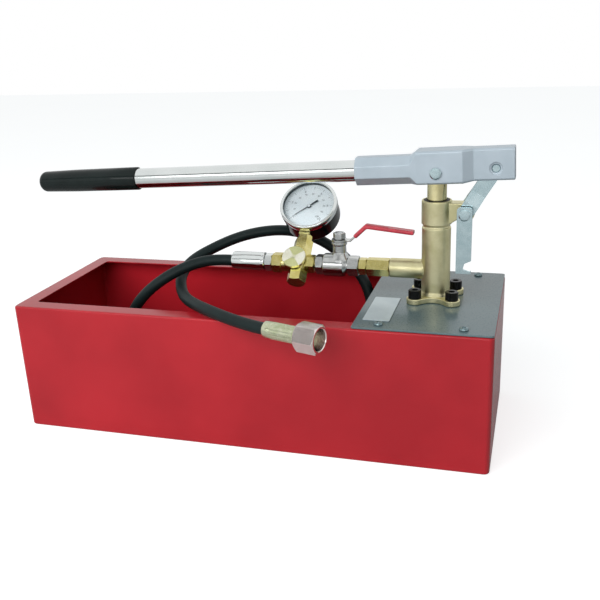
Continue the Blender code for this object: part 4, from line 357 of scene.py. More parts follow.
def outlined(name, outline, low, high, place=Matrix()):
    """Extrude a flat outline along local Z."""
    deselect()
    bpy.ops.mesh.primitive_circle_add(vertices=len(outline), radius=1, fill_type="NGON")
    piece = bpy.context.object
    piece.name = name
    for vertex, (x, y) in zip(piece.data.vertices, outline):
        vertex.co = (x, y, low)
    bpy.ops.object.mode_set(mode="EDIT")
    bpy.ops.mesh.select_all(action="SELECT")
    bpy.ops.mesh.extrude_region_move(TRANSFORM_OT_translate={"value": (0, 0, high - low)})
    bpy.ops.object.mode_set(mode="OBJECT")
    recalculate(piece)
    return placed(piece, place)


def hexagon(name, across, low, high, place=Matrix(), chamfered=True):
    """Hexagon bar end with the round chamfer that a nut has at both ends."""
    corner = across / 2 / math.cos(math.radians(30))
    deselect()
    bpy.ops.mesh.primitive_cylinder_add(vertices=6, radius=corner, depth=high - low,
                                        location=(0, 0, (low + high) / 2), rotation=(0, 0, math.radians(30)))
    piece = bpy.context.object
    piece.name = name
    placed(piece, Matrix())
    if chamfered:
        face = across / 2 - EDGE / 3
        over = corner + EDGE / 3
        drop = (over - face) * math.tan(math.radians(30))
        blank = turned("blank", [
            (0, low), (face, low), (over, low + drop), (over, high - drop), (face, high), (0, high)])
        carve(piece, blank, "INTERSECT")
    soften(piece, EDGE / 2, 15)
    return placed(piece, place)


def refined(name, node, edge, angle=30, segments=2):
    """A CAD node's form with its doubles merged, flat faces whole and sharp edges rounded."""
    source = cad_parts[node]
    piece = source.copy()
    piece.data = source.data.copy()
    piece.name = name
    bpy.context.scene.collection.objects.link(piece)
    piece.parent = None
    piece.hide_render = False
    piece.hide_set(False)
    recalculate(piece)
    bpy.ops.object.mode_set(mode="EDIT")
    bpy.ops.mesh.select_all(action="SELECT")
    bpy.ops.mesh.dissolve_limited(angle_limit=math.radians(1))
    bpy.ops.object.mode_set(mode="OBJECT")
    if edge:
        soften(piece, edge, angle, segments)
    return piece


def dress(piece, material, slot, body, *nodes):
    """Give the piece its finish and its body, and let it stand for CAD nodes."""
    piece.data.materials.clear()
    piece.data.materials.append(material)
    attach(piece, body)
    if nodes:
        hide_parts(*nodes)
    return piece


# Finishes

def add_node(tree, kind, place, inputs=None, **settings):
    """Add a shader node with its settings. Each input takes a value or a link from another socket."""
    node = tree.nodes.new(kind)
    node.location = place
    for setting, value in settings.items():
        setattr(node, setting, value)
    for socket, value in (inputs or {}).items():
        if isinstance(value, bpy.types.NodeSocket):
            tree.links.new(value, node.inputs[socket])
        else:
            node.inputs[socket].default_value = value
    return node


def surface(name, colour, patch, roughness, metallic=0.0, patch_size=0.03, grain_size=0.0006,
            grain_height=0.00001, spread=0.08, coat=0.0, stretch=(1, 1, 1), wave_size=0.0, wave_height=0.0,
            anisotropic=0.0, specular=0.5):
    """A finish of two colours in soft patches, with a fine grain in its roughness and relief.

    Sizes are real ones in metres. stretch draws the grain out along an axis, as brushing does.
    """
    if name in bpy.data.materials:
        return bpy.data.materials[name]
    material = bpy.data.materials.new(name)
    material.use_nodes = True
    tree = material.node_tree
    tree.nodes.clear()
    place = add_node(tree, "ShaderNodeTexCoord", (-1300, 0)).outputs["Object"]
    patches = add_node(tree, "ShaderNodeTexNoise", (-1000, 250),
                       {"Vector": place, "Scale": 1 / patch_size, "Detail": 3.0})
    share = add_node(tree, "ShaderNodeMapRange", (-800, 250),
                     {"Value": patches.outputs["Fac"], "From Min": 0.35, "From Max": 0.65})
    mix = add_node(tree, "ShaderNodeMix", (-600, 250),
                   {"Factor": share.outputs["Result"], MIX_A: colour_of(colour), MIX_B: colour_of(patch)},
                   data_type="RGBA")
    drawn = add_node(tree, "ShaderNodeMapping", (-1100, -100), {"Vector": place, "Scale": stretch})
    grain = add_node(tree, "ShaderNodeTexNoise", (-900, -100),
                     {"Vector": drawn.outputs["Vector"], "Scale": 1 / grain_size, "Detail": 4.0})
    rough = add_node(tree, "ShaderNodeMapRange", (-600, -50),
                     {"Value": grain.outputs["Fac"], "From Min": 0.3, "From Max": 0.7,
                      "To Min": max(roughness - spread, 0.01), "To Max": min(roughness + spread, 1.0)})
    relief = add_node(tree, "ShaderNodeBump", (-300, -250),
                      {"Strength": 1.0, "Distance": grain_height, "Height": grain.outputs["Fac"]})
    if wave_height:
        waves = add_node(tree, "ShaderNodeTexNoise", (-900, -400),
                         {"Vector": place, "Scale": 1 / wave_size, "Detail": 1.0})
        sway = add_node(tree, "ShaderNodeBump", (-600, -400),
                        {"Strength": 1.0, "Distance": wave_height, "Height": waves.outputs["Fac"]})
        tree.links.new(sway.outputs["Normal"], relief.inputs["Normal"])
    shader = add_node(tree, "ShaderNodeBsdfPrincipled", (0, 0), {
        "Base Color": mix.outputs[MIX_RESULT], "Metallic": metallic, "Roughness": rough.outputs["Result"],
        "Normal": relief.outputs["Normal"], "Specular IOR Level": specular, "Anisotropic": anisotropic,
        "Coat Weight": coat, "Coat Roughness": 0.04})
    add_node(tree, "ShaderNodeOutputMaterial", (300, 0), {"Surface": shader.outputs["BSDF"]})
    return material


def red_enamel(colours):
    """Sprayed red enamel: a glossy coat with orange peel over sheet that is gently wavy."""
    red, green, blue = colours.enamel
    return surface("red enamel", colours.enamel, (red * 0.8, green * 0.7, blue * 0.75), 0.22,
                   patch_size=0.12, grain_size=0.0014, grain_height=0.000003, spread=0.04, wave_size=0.08,
                   wave_height=0.0008, specular=0.35)


def grey_enamel(colours):
    """Blue-grey hammered enamel: low gloss, fine peel and slightly darker patches."""
    return surface("grey enamel", colours.plate, [c * 0.85 for c in colours.plate], 0.3, patch_size=0.05,
                   grain_size=0.0009, grain_height=0.000004, spread=0.05, coat=0.15)


def cast_brass():
    """Sand-cast brass, tumbled: matt, with a fine pitted skin and brown-green patches."""
    return surface("cast brass", "DAD4AC", "CAC498", 0.4, 1.0, patch_size=0.012, grain_size=0.0005,
                   grain_height=0.00003, spread=0.1)


def turned_brass():
    """Machined brass: yellow, fairly bright, with fine rings left by the tool."""
    return surface("turned brass", "D6CC8E", "C4B870", 0.22, 1.0, patch_size=0.01, grain_size=0.0003,
                   grain_height=0.000005, spread=0.07)


def polished_brass():
    """Ground plunger: bright brass with streaks along its travel."""
    return surface("ground brass", "E2D9A8", "D2C48C", 0.16, 1.0, patch_size=0.02, grain_size=0.0002,
                   grain_height=0.000002, spread=0.06, stretch=(1, 1, 0.05))


def zinc():
    """Clear zinc plate: pale, slightly blue, clouded and satin."""
    return surface("clear zinc", "BED1D5", "B0C5CA", 0.25, 1.0, patch_size=0.01, grain_size=0.0004,
                   grain_height=0.000006, spread=0.1)


def dark_zinc():
    """Dark passivated zinc of the cover's screws: nearly the plate's own colour."""
    return surface("dark zinc", "7C9094", "6A7E82", 0.24, 0.7, patch_size=0.004, grain_size=0.0003,
                   grain_height=0.000004, spread=0.08)


def yellow_zinc():
    """Yellow passivated zinc: straw yellow that shifts to green, satin."""
    return surface("yellow zinc", "CCD0B4", "B6BF9C", 0.26, 1.0, patch_size=0.008, grain_size=0.0003,
                   grain_height=0.000004, spread=0.08)


def pale_zinc():
    """Bright zinc on the union nut, with a faint pink cast."""
    return surface("bright zinc", "E6DCD8", "DCD0CC", 0.2, 1.0, patch_size=0.008, grain_size=0.0004,
                   grain_height=0.000005, spread=0.08)


def nickel():
    """Nickel plate over a forging: bright, warm grey, slightly rolling."""
    return surface("nickel plate", "C2C4C2", "ACAFAE", 0.2, 1.0, patch_size=0.01, grain_size=0.0006,
                   grain_height=0.000006, spread=0.07, wave_size=0.004, wave_height=0.00008)


def chrome():
    """Hard chrome: a clear mirror with hair-fine draw marks."""
    return surface("chrome plate", "DDE1E0", "D6DBDA", 0.13, 1.0, patch_size=0.03, grain_size=0.0004,
                   grain_height=0.0, spread=0.01, stretch=(0.05, 1, 1))


def painted_casting():
    """Silver-grey lacquer on a casting: soft sheen and a sandy skin."""
    return surface("casting lacquer", "B6C2CB", "ADBAC3", 0.36, 0.3, patch_size=0.03, grain_size=0.0007,
                   grain_height=0.00003, spread=0.08)


def steel():
    """Bright steel of the pins and the valve's stem."""
    return surface("bright steel", "C4C8CA", "AEB3B6", 0.25, 1.0, patch_size=0.004, grain_size=0.0003,
                   grain_height=0.000004, spread=0.08)


def black_oxide():
    """Black oxide on screws: dark, a little oily."""
    return surface("black oxide", "121414", "0A0B0B", 0.22, 0.9, patch_size=0.004, grain_size=0.0003,
                   grain_height=0.000005, spread=0.1)


def hose_rubber(colours):
    """Extruded hose rubber: dark grey-green, dull sheen and a fine matt grain."""
    return surface("hose rubber", colours.hose, [c * 0.7 for c in colours.hose], 0.5, patch_size=0.015,
                   grain_size=0.0005, grain_height=0.00001, spread=0.1, specular=0.25)


def black_rubber():
    """Black seal rubber."""
    return surface("seal rubber", "161718", "0E0F10", 0.55, patch_size=0.004, grain_height=0.00001)


def case_plastic():
    """Glossy black moulded plastic of the gauge's case."""
    return surface("case plastic", "131517", "0C0D0E", 0.14, patch_size=0.02, grain_size=0.001,
                   grain_height=0.000003, spread=0.04, specular=0.25)


def grip_vinyl(colours):
    """Dipped black vinyl grip: wet-looking gloss over a slightly uneven skin."""
    return surface("grip vinyl", colours.grip, [c * 0.7 for c in colours.grip], 0.16, patch_size=0.02,
                   grain_size=0.0015, grain_height=0.000008, spread=0.06, wave_size=0.01, wave_height=0.0001,
                   specular=0.2)


def sleeve_vinyl(colours):
    """Red dipped vinyl on the valve's handle: soft gloss over a slightly uneven skin."""
    return surface("sleeve vinyl", colours.sleeve, [c * 0.8 for c in colours.sleeve], 0.28, patch_size=0.01,
                   grain_size=0.001, grain_height=0.000008, spread=0.06, wave_size=0.008, wave_height=0.0001)


def brushed_label():
    """Bare rating plate: pale brushed aluminium under a thin lacquer."""
    return surface("brushed plate", "C8D4D8", "BCC9CE", 0.36, 0.3, patch_size=0.02, grain_size=0.0004,
                   grain_height=0.000001, spread=0.05, stretch=(1, 0.05, 1))


def white_dial():
    """White lacquered dial."""
    return surface("dial white", "F8FDFF", "F0F8FC", 0.4, patch_size=0.02, grain_height=0.000002,
                   spread=0.04)


def dial_ink():
    """Dark grey print on the dial."""
    return surface("dial ink", "3E4348", "50565C", 0.5, patch_size=0.004, grain_height=0.000001)


def sealing():
    """White plastic of the ball valve's seats."""
    return surface("seat plastic", "DCDCD4", "CFCFC6", 0.5, patch_size=0.005)


def knob_metal():
    """Face-turned knob: fine rings that catch the light in four fans.

    The rings themselves are too fine to show. Anisotropy about the knob's axis and a painted shade on two
    opposite fans, which leaves the other two lighter, stand for them.
    """
    name = "face-turned zinc"
    if name in bpy.data.materials:
        return bpy.data.materials[name]
    material = surface(name, "F2F1E2", "E8E7D2", 0.3, 1.0, patch_size=0.01, grain_size=0.0003,
                       grain_height=0.0, spread=0.04, anisotropic=0.9)
    tree = material.node_tree
    shader = tree.nodes["Principled BSDF"]
    place = add_node(tree, "ShaderNodeTexCoord", (-1300, -700))
    arm = add_node(tree, "ShaderNodeVectorMath", (-1000, -700),
                   {0: place.outputs["Object"], 1: KNOB_FRAME.translation}, operation="SUBTRACT")
    around = add_node(tree, "ShaderNodeVectorMath", (-800, -700),
                      {0: arm.outputs["Vector"], 1: LEAN @ Vector((0, 0, 1))}, operation="CROSS_PRODUCT")
    world = add_node(tree, "ShaderNodeVectorTransform", (-600, -700), {"Vector": around.outputs["Vector"]},
                     vector_type="VECTOR", convert_from="OBJECT", convert_to="WORLD")
    unit = add_node(tree, "ShaderNodeVectorMath", (-400, -700), {0: world.outputs["Vector"]},
                    operation="NORMALIZE")
    tree.links.new(unit.outputs["Vector"], shader.inputs["Tangent"])
    spans = []
    for turn in (KNOB_FAN_TURN, KNOB_FAN_TURN + math.pi / 2):
        line = LEAN @ Vector((math.cos(turn), math.sin(turn), 0))
        spans.append(add_node(tree, "ShaderNodeVectorMath", (-800, -900),
                              {0: arm.outputs["Vector"], 1: line}, operation="DOT_PRODUCT"))
    fans = add_node(tree, "ShaderNodeMath", (-600, -900),
                    {0: spans[0].outputs["Value"], 1: spans[1].outputs["Value"]}, operation="MULTIPLY")
    edge = add_node(tree, "ShaderNodeMapRange", (-400, -900),
                    {"Value": fans.outputs["Value"], "From Min": -KNOB_FAN_EDGE, "From Max": KNOB_FAN_EDGE})
    # Painted shade: two opposite fans are multiplied darker, for the light that the rings reflect in fans
    base = shader.inputs["Base Color"].links[0].from_socket
    painted_shade = add_node(tree, "ShaderNodeMix", (-200, -700),
                    {"Factor": edge.outputs["Result"], MIX_A: base, MIX_B: linear("D8DCB0")},
                    data_type="RGBA", blend_type="MULTIPLY")
    tree.links.new(painted_shade.outputs[MIX_RESULT], shader.inputs["Base Color"])
    return material


def gauge_glass():
    """Flat window glass: almost clear, with a faint pale-blue colour painted over it as its cool reflected
    sheen.
    """
    # Painted reflection: the pale-blue base colour, at a low alpha, stands for the glass's sheen
    material = surface("window glass", "D6EEF4", "CFE8F0", 0.04, patch_size=0.05, grain_height=0.0000005,
                       spread=0.02)
    material.node_tree.nodes["Principled BSDF"].inputs["Alpha"].default_value = 0.05
    return material


# Tank and cover

def rounded_rectangle(low, high, radius, steps=5):
    """Outline of a rectangle between two corners, with round corners."""
    outline = []
    for x, y, start in ((high.x, high.y, 0), (low.x, high.y, 90), (low.x, low.y, 180), (high.x, low.y, 270)):
        inner = (x - math.copysign(radius, x - (low.x + high.x) / 2),
                 y - math.copysign(radius, y - (low.y + high.y) / 2))
        outline += arc(inner, radius, math.radians(start), math.radians(start + 90), steps)
    return outline


def make_tank(sizes, colours):
    """Open tank of folded sheet with a rim turned inwards."""
    low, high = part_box("tank")
    size = high - low
    fold = sizes.fold
    stops = arc((fold, low.z + fold), fold, 3 * math.pi / 2, math.pi, 4)
    stops += arc((fold, high.z - fold), fold, math.pi, math.pi / 2, 4)
    stops.append((sizes.rim, high.z))
    outline = rounded_rectangle(low, high, sizes.corner)
    deselect()
    bpy.ops.mesh.primitive_circle_add(vertices=len(outline), radius=1, fill_type="NGON")
    tank = bpy.context.object
    tank.name = "tank_sheet"
    inset, height = stops[0]
    for vertex, (x, y) in zip(tank.data.vertices, outline):
        vertex.co = (x * (1 - 2 * inset / size.x), y * (1 - 2 * inset / size.y), height)
    bpy.ops.object.mode_set(mode="EDIT")
    bpy.ops.mesh.select_all(action="SELECT")
    for next_inset, next_height in stops[1:]:
        bpy.ops.mesh.extrude_region_move(TRANSFORM_OT_translate={"value": (0, 0, next_height - height)})
        grow_x = (size.x - 2 * next_inset) / (size.x - 2 * inset)
        grow_y = (size.y - 2 * next_inset) / (size.y - 2 * inset)
        bpy.ops.transform.resize(value=(grow_x, grow_y, 1), center_override=(0, 0, next_height))
        inset, height = next_inset, next_height
    bpy.ops.mesh.delete(type="FACE")
    bpy.ops.mesh.select_all(action="SELECT")
    bpy.ops.mesh.normals_make_consistent(inside=False)
    bpy.ops.object.mode_set(mode="OBJECT")
    apply_modifier(tank, "SOLIDIFY", thickness=sizes.sheet, offset=-1, use_even_offset=True)
    soften(tank, EDGE / 2, 50)
    dress(tank, red_enamel(colours), "red_enamel", "pump", "tank")


def make_cover(colours):
    """Plate over the tank's right end, its four screws, and the bare rating plate."""
    low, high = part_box("cover_plate")
    cover = outlined("cover_sheet", rounded_rectangle(low, high, COVER_CORNER), low.z, high.z)
    soften(cover, EDGE, 50, 3)
    dress(cover, grey_enamel(colours), "grey_enamel", "pump", "cover_plate")

    low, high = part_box("rating_plate")
    plate = outlined("rating_sheet", rounded_rectangle(low, high, 2 * EDGE), low.z, high.z)
    soften(plate, (high.z - low.z) / 4, 50)
    dress(plate, brushed_label(), "label", "pump", "rating_plate")

    for number in range(1, 5):
        low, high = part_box(f"cover_screw_{number}")
        centre = (low + high) / 2
        head = (high.x - low.x) / 2
        top = high.z
        under = COVER_TOP + GAP
        neck = head * 0.45
        dome = [(0, low.z), (neck, low.z), (neck, under), (head * 0.94, under), (head, under + EDGE / 2),
                (head, under + EDGE), (head * 0.86, top - EDGE / 2), (head * 0.62, top), (0, top)]
        place = Matrix.Translation((centre.x, centre.y, 0))
        screw = turned(f"cover_screw_head_{number}", dome, place, FEW_SIDES)
        socket = hexagon("socket", head * 0.8, top - 2 * EDGE, top + EDGE, chamfered=False)
        placed(socket, place)
        carve(screw, socket)
        soften(screw, EDGE / 5, 35)
        dress(screw, dark_zinc(), "zinc", "pump", f"cover_screw_{number}")


# Pump

def flange_outline():
    """A square flange with a round ear at each screw and a waist along each side."""
    half = FLANGE_SCREW_PITCH / 2
    points = []
    for turn in range(4):
        spin = Matrix.Rotation(turn * math.pi / 2, 2)
        ear = arc((half, half), FLANGE_EAR_RADIUS, math.pi / 4 - FLANGE_EAR_ARC,
                  math.pi / 4 + FLANGE_EAR_ARC, 16)
        end_x, end_y = ear[-1]
        dip = end_y - FLANGE_WAIST
        waist = [(end_x * share, FLANGE_WAIST + dip * share * share)
                 for share in (0.85, 0.7, 0.5, 0.3, 0.1, -0.1, -0.3, -0.5, -0.7, -0.85)]
        points += [tuple(spin @ Vector(point)) for point in ear + waist]
    return points


def lug_outline():
    """The arm from the collar round the pivot pin, seen from the side, about the pump's axis."""
    centre = (LUG_REACH, LUG_AT.z)
    foot = LUG_AT.z - LUG_ROOT_DROP / 2
    return [(LUG_ROOT, foot), (COLLAR_RADIUS - EDGE, foot),
            *arc(centre, LUG_RADIUS, -math.pi / 2 - LUG_ROOT_DROP / LUG_REACH, math.pi / 2, 24),
            (LUG_ROOT, LUG_AT.z + LUG_RADIUS)]


def make_body():
    """Cast body with flange, cylinder, grooved collar, lug and spigot, and its wiper and screws."""
    axis = Matrix.Translation((PUMP_X, 0, 0))
    flange = outlined("flange", flange_outline(), BODY_BASE, FLANGE_TOP, axis)
    column = turned("column", [
        (0, BODY_FOOT), (BOSS_RADIUS, BODY_FOOT), (BOSS_RADIUS, 0.1445), (FOOT_RADIUS, 0.1445),
        (FOOT_RADIUS, 0.1496), (0.0150, 0.1506), (CYLINDER_RADIUS, 0.1520), (CYLINDER_RADIUS, 0.2178),
        (GROOVE_RADIUS, 0.2184), (GROOVE_RADIUS, 0.2206), (COLLAR_RADIUS, 0.2212), (COLLAR_RADIUS, 0.2442),
        (COLLAR_RADIUS - EDGE, BODY_TOP), (WIPER_BORE, BODY_TOP), (WIPER_BORE, 0.2392),
        (PLUNGER_BORE, 0.2392), (PLUNGER_BORE, 0.1660), (0, 0.1660)], axis)
    lug = outlined("lug", lug_outline(), -LUG_HALF_WIDTH, LUG_HALF_WIDTH, axis @ SIDE_VIEW)
    carve(lug, turned("bore", [(0, 0.16), (0.0102, 0.16), (0.0102, 0.25), (0, 0.25)], axis))
    spigot = turned("spigot", [
        (0, 0.0115), (SPIGOT_RADIUS, 0.0115), (SPIGOT_RADIUS, SPIGOT_REACH - EDGE),
        (SPIGOT_RADIUS - EDGE, SPIGOT_REACH), (0, SPIGOT_REACH)], facing((PUMP_X, 0, PIPE_Z), (-1, 0, 0)))
    body = join("body_casting", flange, column, lug, spigot)
    cast(body, 0.0006, 4)
    dress(body, cast_brass(), "cast_brass", "pump", "pump_body")

    wiper = turned("wiper_lip", [
        (0.0099, 0.2394), (0.0126, 0.2394), (0.0126, 0.2450), (0.0120, 0.2453), (0.0106, 0.2453),
        (0.0099, 0.2447)], axis, ring=True)
    shade(wiper, 40)
    dress(wiper, black_rubber(), "black_rubber", "pump", "wiper_ring")

    top = PLUNGER_PIN_AT.z
    plunger = turned("plunger_rod", [
        (0, 0.178), (0.0085, 0.178), (PLUNGER_RADIUS, 0.179),
        *arc((0, top), PLUNGER_RADIUS, 0, math.pi * 7 / 16, 7), (0, top + PLUNGER_RADIUS)], axis)
    shade(plunger, 40)
    dress(plunger, polished_brass(), "turned_brass", "plunger_unit", "plunger")

    for number in range(1, 5):
        low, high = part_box(f"flange_screw_{number}")
        centre = (low + high) / 2
        place = Matrix.Translation((centre.x, centre.y, 0))
        head = (high.x - low.x) / 2
        under = FLANGE_TOP + GAP
        cap = outlined(f"screw_head_{number}", grooved(head, EDGE / 4, (1, 0, 0), 32), under, high.z, place)
        blank = turned("blank", [(0, under), (head + EDGE, under), (head + EDGE, high.z - 2 * EDGE),
                                 (head - EDGE, high.z), (0, high.z)], place)
        carve(cap, blank, "INTERSECT")
        socket = hexagon("socket", SCREW_SOCKET_FLATS, high.z - SCREW_SOCKET_DEPTH, high.z + EDGE,
                         chamfered=False)
        carve(cap, placed(socket, place))
        shank = turned("shank", [
            (0, low.z), (SHANK_RADIUS - 0.0004, low.z), (SHANK_RADIUS, low.z + EDGE),
            (SHANK_RADIUS, under + EDGE), (0, under + EDGE)], place, FEW_SIDES)
        screw = join(f"screw_{number}", cap, shank)
        soften(screw, EDGE / 4, 40)
        dress(screw, black_oxide(), "black_oxide", "pump", f"flange_screw_{number}")


# Lever and linkage

def make_lever(sizes, colours):
    """Casting, chromed tube and black grip."""
    casting = refined("casting_skin", "lever_casting", 0)
    cast(casting, 0.0006, 2)
    dress(casting, painted_casting(), "painted_casting", "lever", "lever_casting")

    place = LEVER_FRAME @ facing((-TUBE_START, 0, LEVER_AXIS_RISE), (-1, 0, 0))
    outer = sizes.tube
    wall = outer - TUBE_WALL
    tube = turned("tube_skin", [(wall, 0), (outer - EDGE / 2, 0), (outer, EDGE / 2), (outer, TUBE_LENGTH),
                                (wall, TUBE_LENGTH)], place, MANY_SIDES, ring=True)
    shade(tube, 40)
    dress(tube, chrome(), "chrome", "lever", "lever_tube")

    bore = outer + GAP
    radius = sizes.grip
    tip = (GRIP_TIP_RADIUS - GRIP_TIP_ROUNDING, GRIP_TIP - GRIP_TIP_ROUNDING)
    grip = turned("grip_skin", [
        (0, TUBE_LENGTH + GAP), (bore, TUBE_LENGTH + GAP), (bore, GRIP_START), (radius - EDGE, GRIP_START),
        (radius, GRIP_START + EDGE), (radius, GRIP_START + 0.03), (radius - EDGE / 3, GRIP_WAIST),
        *arc(tip, GRIP_TIP_ROUNDING, 0, math.pi * 9 / 20, 9), (tip[0], GRIP_TIP), (0, GRIP_TIP)], place)
    shade(grip, 50)
    dress(grip, grip_vinyl(colours), "black_grip", "lever", "lever_grip")


def make_linkage():
    """Joggled links, transport hook and the pins."""
    for name in ("link_front", "link_back"):
        link = refined(f"{name}_plate", name, EDGE, 25, 3)
        dress(link, zinc(), "zinc", "link", name)
    hook = refined("hook_plate", "transport_hook", EDGE / 2, 40)
    dress(hook, zinc(), "zinc", "hook", "transport_hook")
    headed = (("plunger_pin", "lever", PLUNGER_PIN_AT, 0.0050, 0.0056, -0.0150, 0.0150),
              ("pivot_pin", "pump", LUG_AT, 0.0040, 0.0055, -0.0129, 0.01845))
    for name, body, at, shank, head, back, front in headed:
        pin = turned(f"{name}_steel", [
            (0, back - PIN_HEAD), (head * 0.72, back - PIN_HEAD), (head, back - PIN_HEAD / 2), (head, back),
            (shank, back), (shank, front), (head, front), (head, front + PIN_HEAD * 0.55),
            (head * 0.8, front + PIN_HEAD * 0.9), (head * 0.5, front + PIN_HEAD), (0, front + PIN_HEAD)],
            Matrix.Translation(at) @ SIDE_VIEW, FEW_SIDES)
        shade(pin, 25)
        dress(pin, zinc(), "steel", body, name)
    half = 0.0083
    radius = 0.0040
    pin = turned("link_pin_steel", [
        (0, -half), (radius - EDGE, -half), (radius, EDGE - half), (radius, half - EDGE),
        (radius - EDGE, half), (0, half)], Matrix.Translation(LINK_PIN_AT) @ SIDE_VIEW, FEW_SIDES)
    shade(pin, 25)
    dress(pin, zinc(), "steel", "lever", "link_pin")


# Ball valve

def make_valve(colours):
    """Forged ball valve with its end, stem, nut, bent handle and red sleeve."""
    pipe = facing((0, 0, PIPE_Z), (1, 0, 0))
    centre = Vector((VALVE_X, 0, PIPE_Z))
    barrel = turned("barrel", [
        (0, 0.0693), (0.0112, 0.0693), (0.0122, 0.0703), (0.0124, 0.0770), (0.0124, 0.0870),
        (0.0116, 0.0905), (0.0092, 0.0930), (0.0084, 0.0945), (0.0084, 0.0960), (0, 0.0960)], pipe)
    bonnet = turned("bonnet", [
        (0, 0), (0.0112, 0.002), (0.0106, 0.0075), (0.0084, 0.0115), (0.0070, 0.0140), (0.0068, 0.0222),
        (0.0080, 0.0229), (0.0080, 0.0252), (0.0076, 0.0257), (0, 0.0257)], Matrix.Translation(centre))
    body = join("valve_forging", barrel, bonnet)
    cast(body, 0.0004, 5)
    wrench = hexagon("wrench", VALVE_FLATS, 0.0950, 0.1065, pipe)
    body = join("valve_forging", body, wrench)
    dress(body, nickel(), "nickel", "pump", "valve_body")

    end = hexagon("valve_end_hexagon", VALVE_FLATS, 0.0610, 0.0690, pipe)
    dress(end, nickel(), "nickel", "pump", "valve_end")

    handle = refined("handle_plate", "valve_handle", EDGE / 2, 20)
    dress(handle, nickel(), "nickel", "valve_lever", "valve_handle")
    sleeve = refined("sleeve_skin", "handle_sleeve", 0.0011, 60, 4)
    cast(sleeve, 0.0004, 50)
    dress(sleeve, sleeve_vinyl(colours), "red_vinyl", "valve_lever", "handle_sleeve")

    low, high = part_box("stem_nut")
    upright = Matrix.Translation((VALVE_X, 0, 0))
    nut = hexagon("stem_hexagon", STEM_NUT_FLATS, low.z, high.z, upright)
    bore = [(0, low.z - EDGE), (STEM_BORE, low.z - EDGE), (STEM_BORE, high.z + EDGE), (0, high.z + EDGE)]
    carve(nut, turned("bore", bore, upright, FEW_SIDES))
    shade(nut)
    dress(nut, nickel(), "nickel", "valve_lever", "stem_nut")
    stem = refined("stem_steel", "valve_stem", EDGE / 3)
    dress(stem, steel(), "steel", "valve_lever", "valve_stem")


# Adapter, cross and release valve

def make_manifold(sizes):
    """Adapter and locknut, cross fitting with its plug, and the release knob."""
    left = facing((0, 0, PIPE_Z), (-1, 0, 0))
    adapter = hexagon("adapter_hexagon", ADAPTER_FLATS, -0.1384, -0.1151, left)
    thread = turned("thread", [
        (0, -0.1155), (0.0054, -0.1155), (0.0054, -0.1100), (0.0050, -0.1068), (0, -0.1068)],
        left, FEW_SIDES)
    adapter = join("adapter_hexagon", adapter, thread)
    dress(adapter, turned_brass(), "turned_brass", "pump", "outlet_adapter")
    locknut = hexagon("locknut_hexagon", LOCKNUT_FLATS, -0.1148, -0.1068, left)
    dress(locknut, turned_brass(), "turned_brass", "pump", "outlet_locknut")

    pipe = facing((0, 0, PIPE_Z), (1, 0, 0))
    port = PORT_FRAME @ facing((0, 0, 0), (0, 1, 0))
    drain = PORT_FRAME @ facing((0, 0, 0), (0, -1, 0))
    parts = [
        hexagon("left", CROSS_LEFT_FLATS, 0.0134, 0.0243, pipe),
        turned("core", [(0, 0.0238), (0.0092, 0.0238), (0.0098, 0.0244), (0.0098, 0.0482), (0.0092, 0.0488),
                        (0, 0.0488)], pipe),
        hexagon("right", CROSS_RIGHT_FLATS, 0.0483, 0.0595, pipe),
        turned("stub", [(0, 0.0590), (0.0045, 0.0590), (0.0045, 0.0683), (0, 0.0683)], pipe, FEW_SIDES),
        hexagon("neck", NECK_FLATS, 0.0045, 0.0270, port),
        turned("drain_boss", [(0, 0), (0.0090, 0), (0.0090, 0.0094), (0.0086, 0.0099), (0, 0.0099)], drain),
        turned("knob_boss", [(0, 0), (0.0080, 0), (0.0080, 0.0094), (0.0075, 0.0099), (0, 0.0099)],
               KNOB_FRAME),
    ]
    for part in parts:
        shade(part)
    cross = join("cross_fitting", *parts)
    dress(cross, turned_brass(), "turned_brass", "pump", "manifold")

    plug = hexagon("plug_hexagon", PLUG_FLATS, 0.0102, 0.0238, drain)
    dress(plug, turned_brass(), "turned_brass", "pump", "manifold_plug")

    radius = sizes.knob
    rim = grooved(radius, EDGE / 3, (1, 0, 0, 0), 30)
    knob = outlined("knob_disc", rim, KNOB_BACK, KNOB_FRONT, KNOB_FRAME)
    outer = radius + EDGE / 2
    dimple = KNOB_FRONT - 0.0003
    blank = turned("blank", [
        (0, KNOB_BACK), (radius - EDGE / 2, KNOB_BACK), (outer, KNOB_BACK + 0.0010),
        (outer, KNOB_FRONT - 0.0007), (radius - EDGE, KNOB_FRONT), (0.0030, KNOB_FRONT), (0.0026, dimple),
        (0, dimple)], KNOB_FRAME)
    carve(knob, blank, "INTERSECT")
    soften(knob, EDGE / 4, 40)
    dress(knob, knob_metal(), "zinc", "knob", "release_knob")


# Gauge

def dial_text(text, size, angle, radius, height):
    """A number on the dial, upright, as a thin mesh."""
    deselect()
    bpy.ops.object.text_add(location=(0, 0, 0))
    label = bpy.context.object
    label.data.body = text
    label.data.size = size
    label.data.align_x = "CENTER"
    label.data.align_y = "CENTER"
    label.data.extrude = GAP / 20
    label.data.resolution_u = 4
    bpy.ops.object.convert(target="MESH")
    label = bpy.context.object
    spot = Matrix.Translation((radius * math.cos(angle), radius * math.sin(angle), height))
    return placed(label, GAUGE_FRAME @ spot)


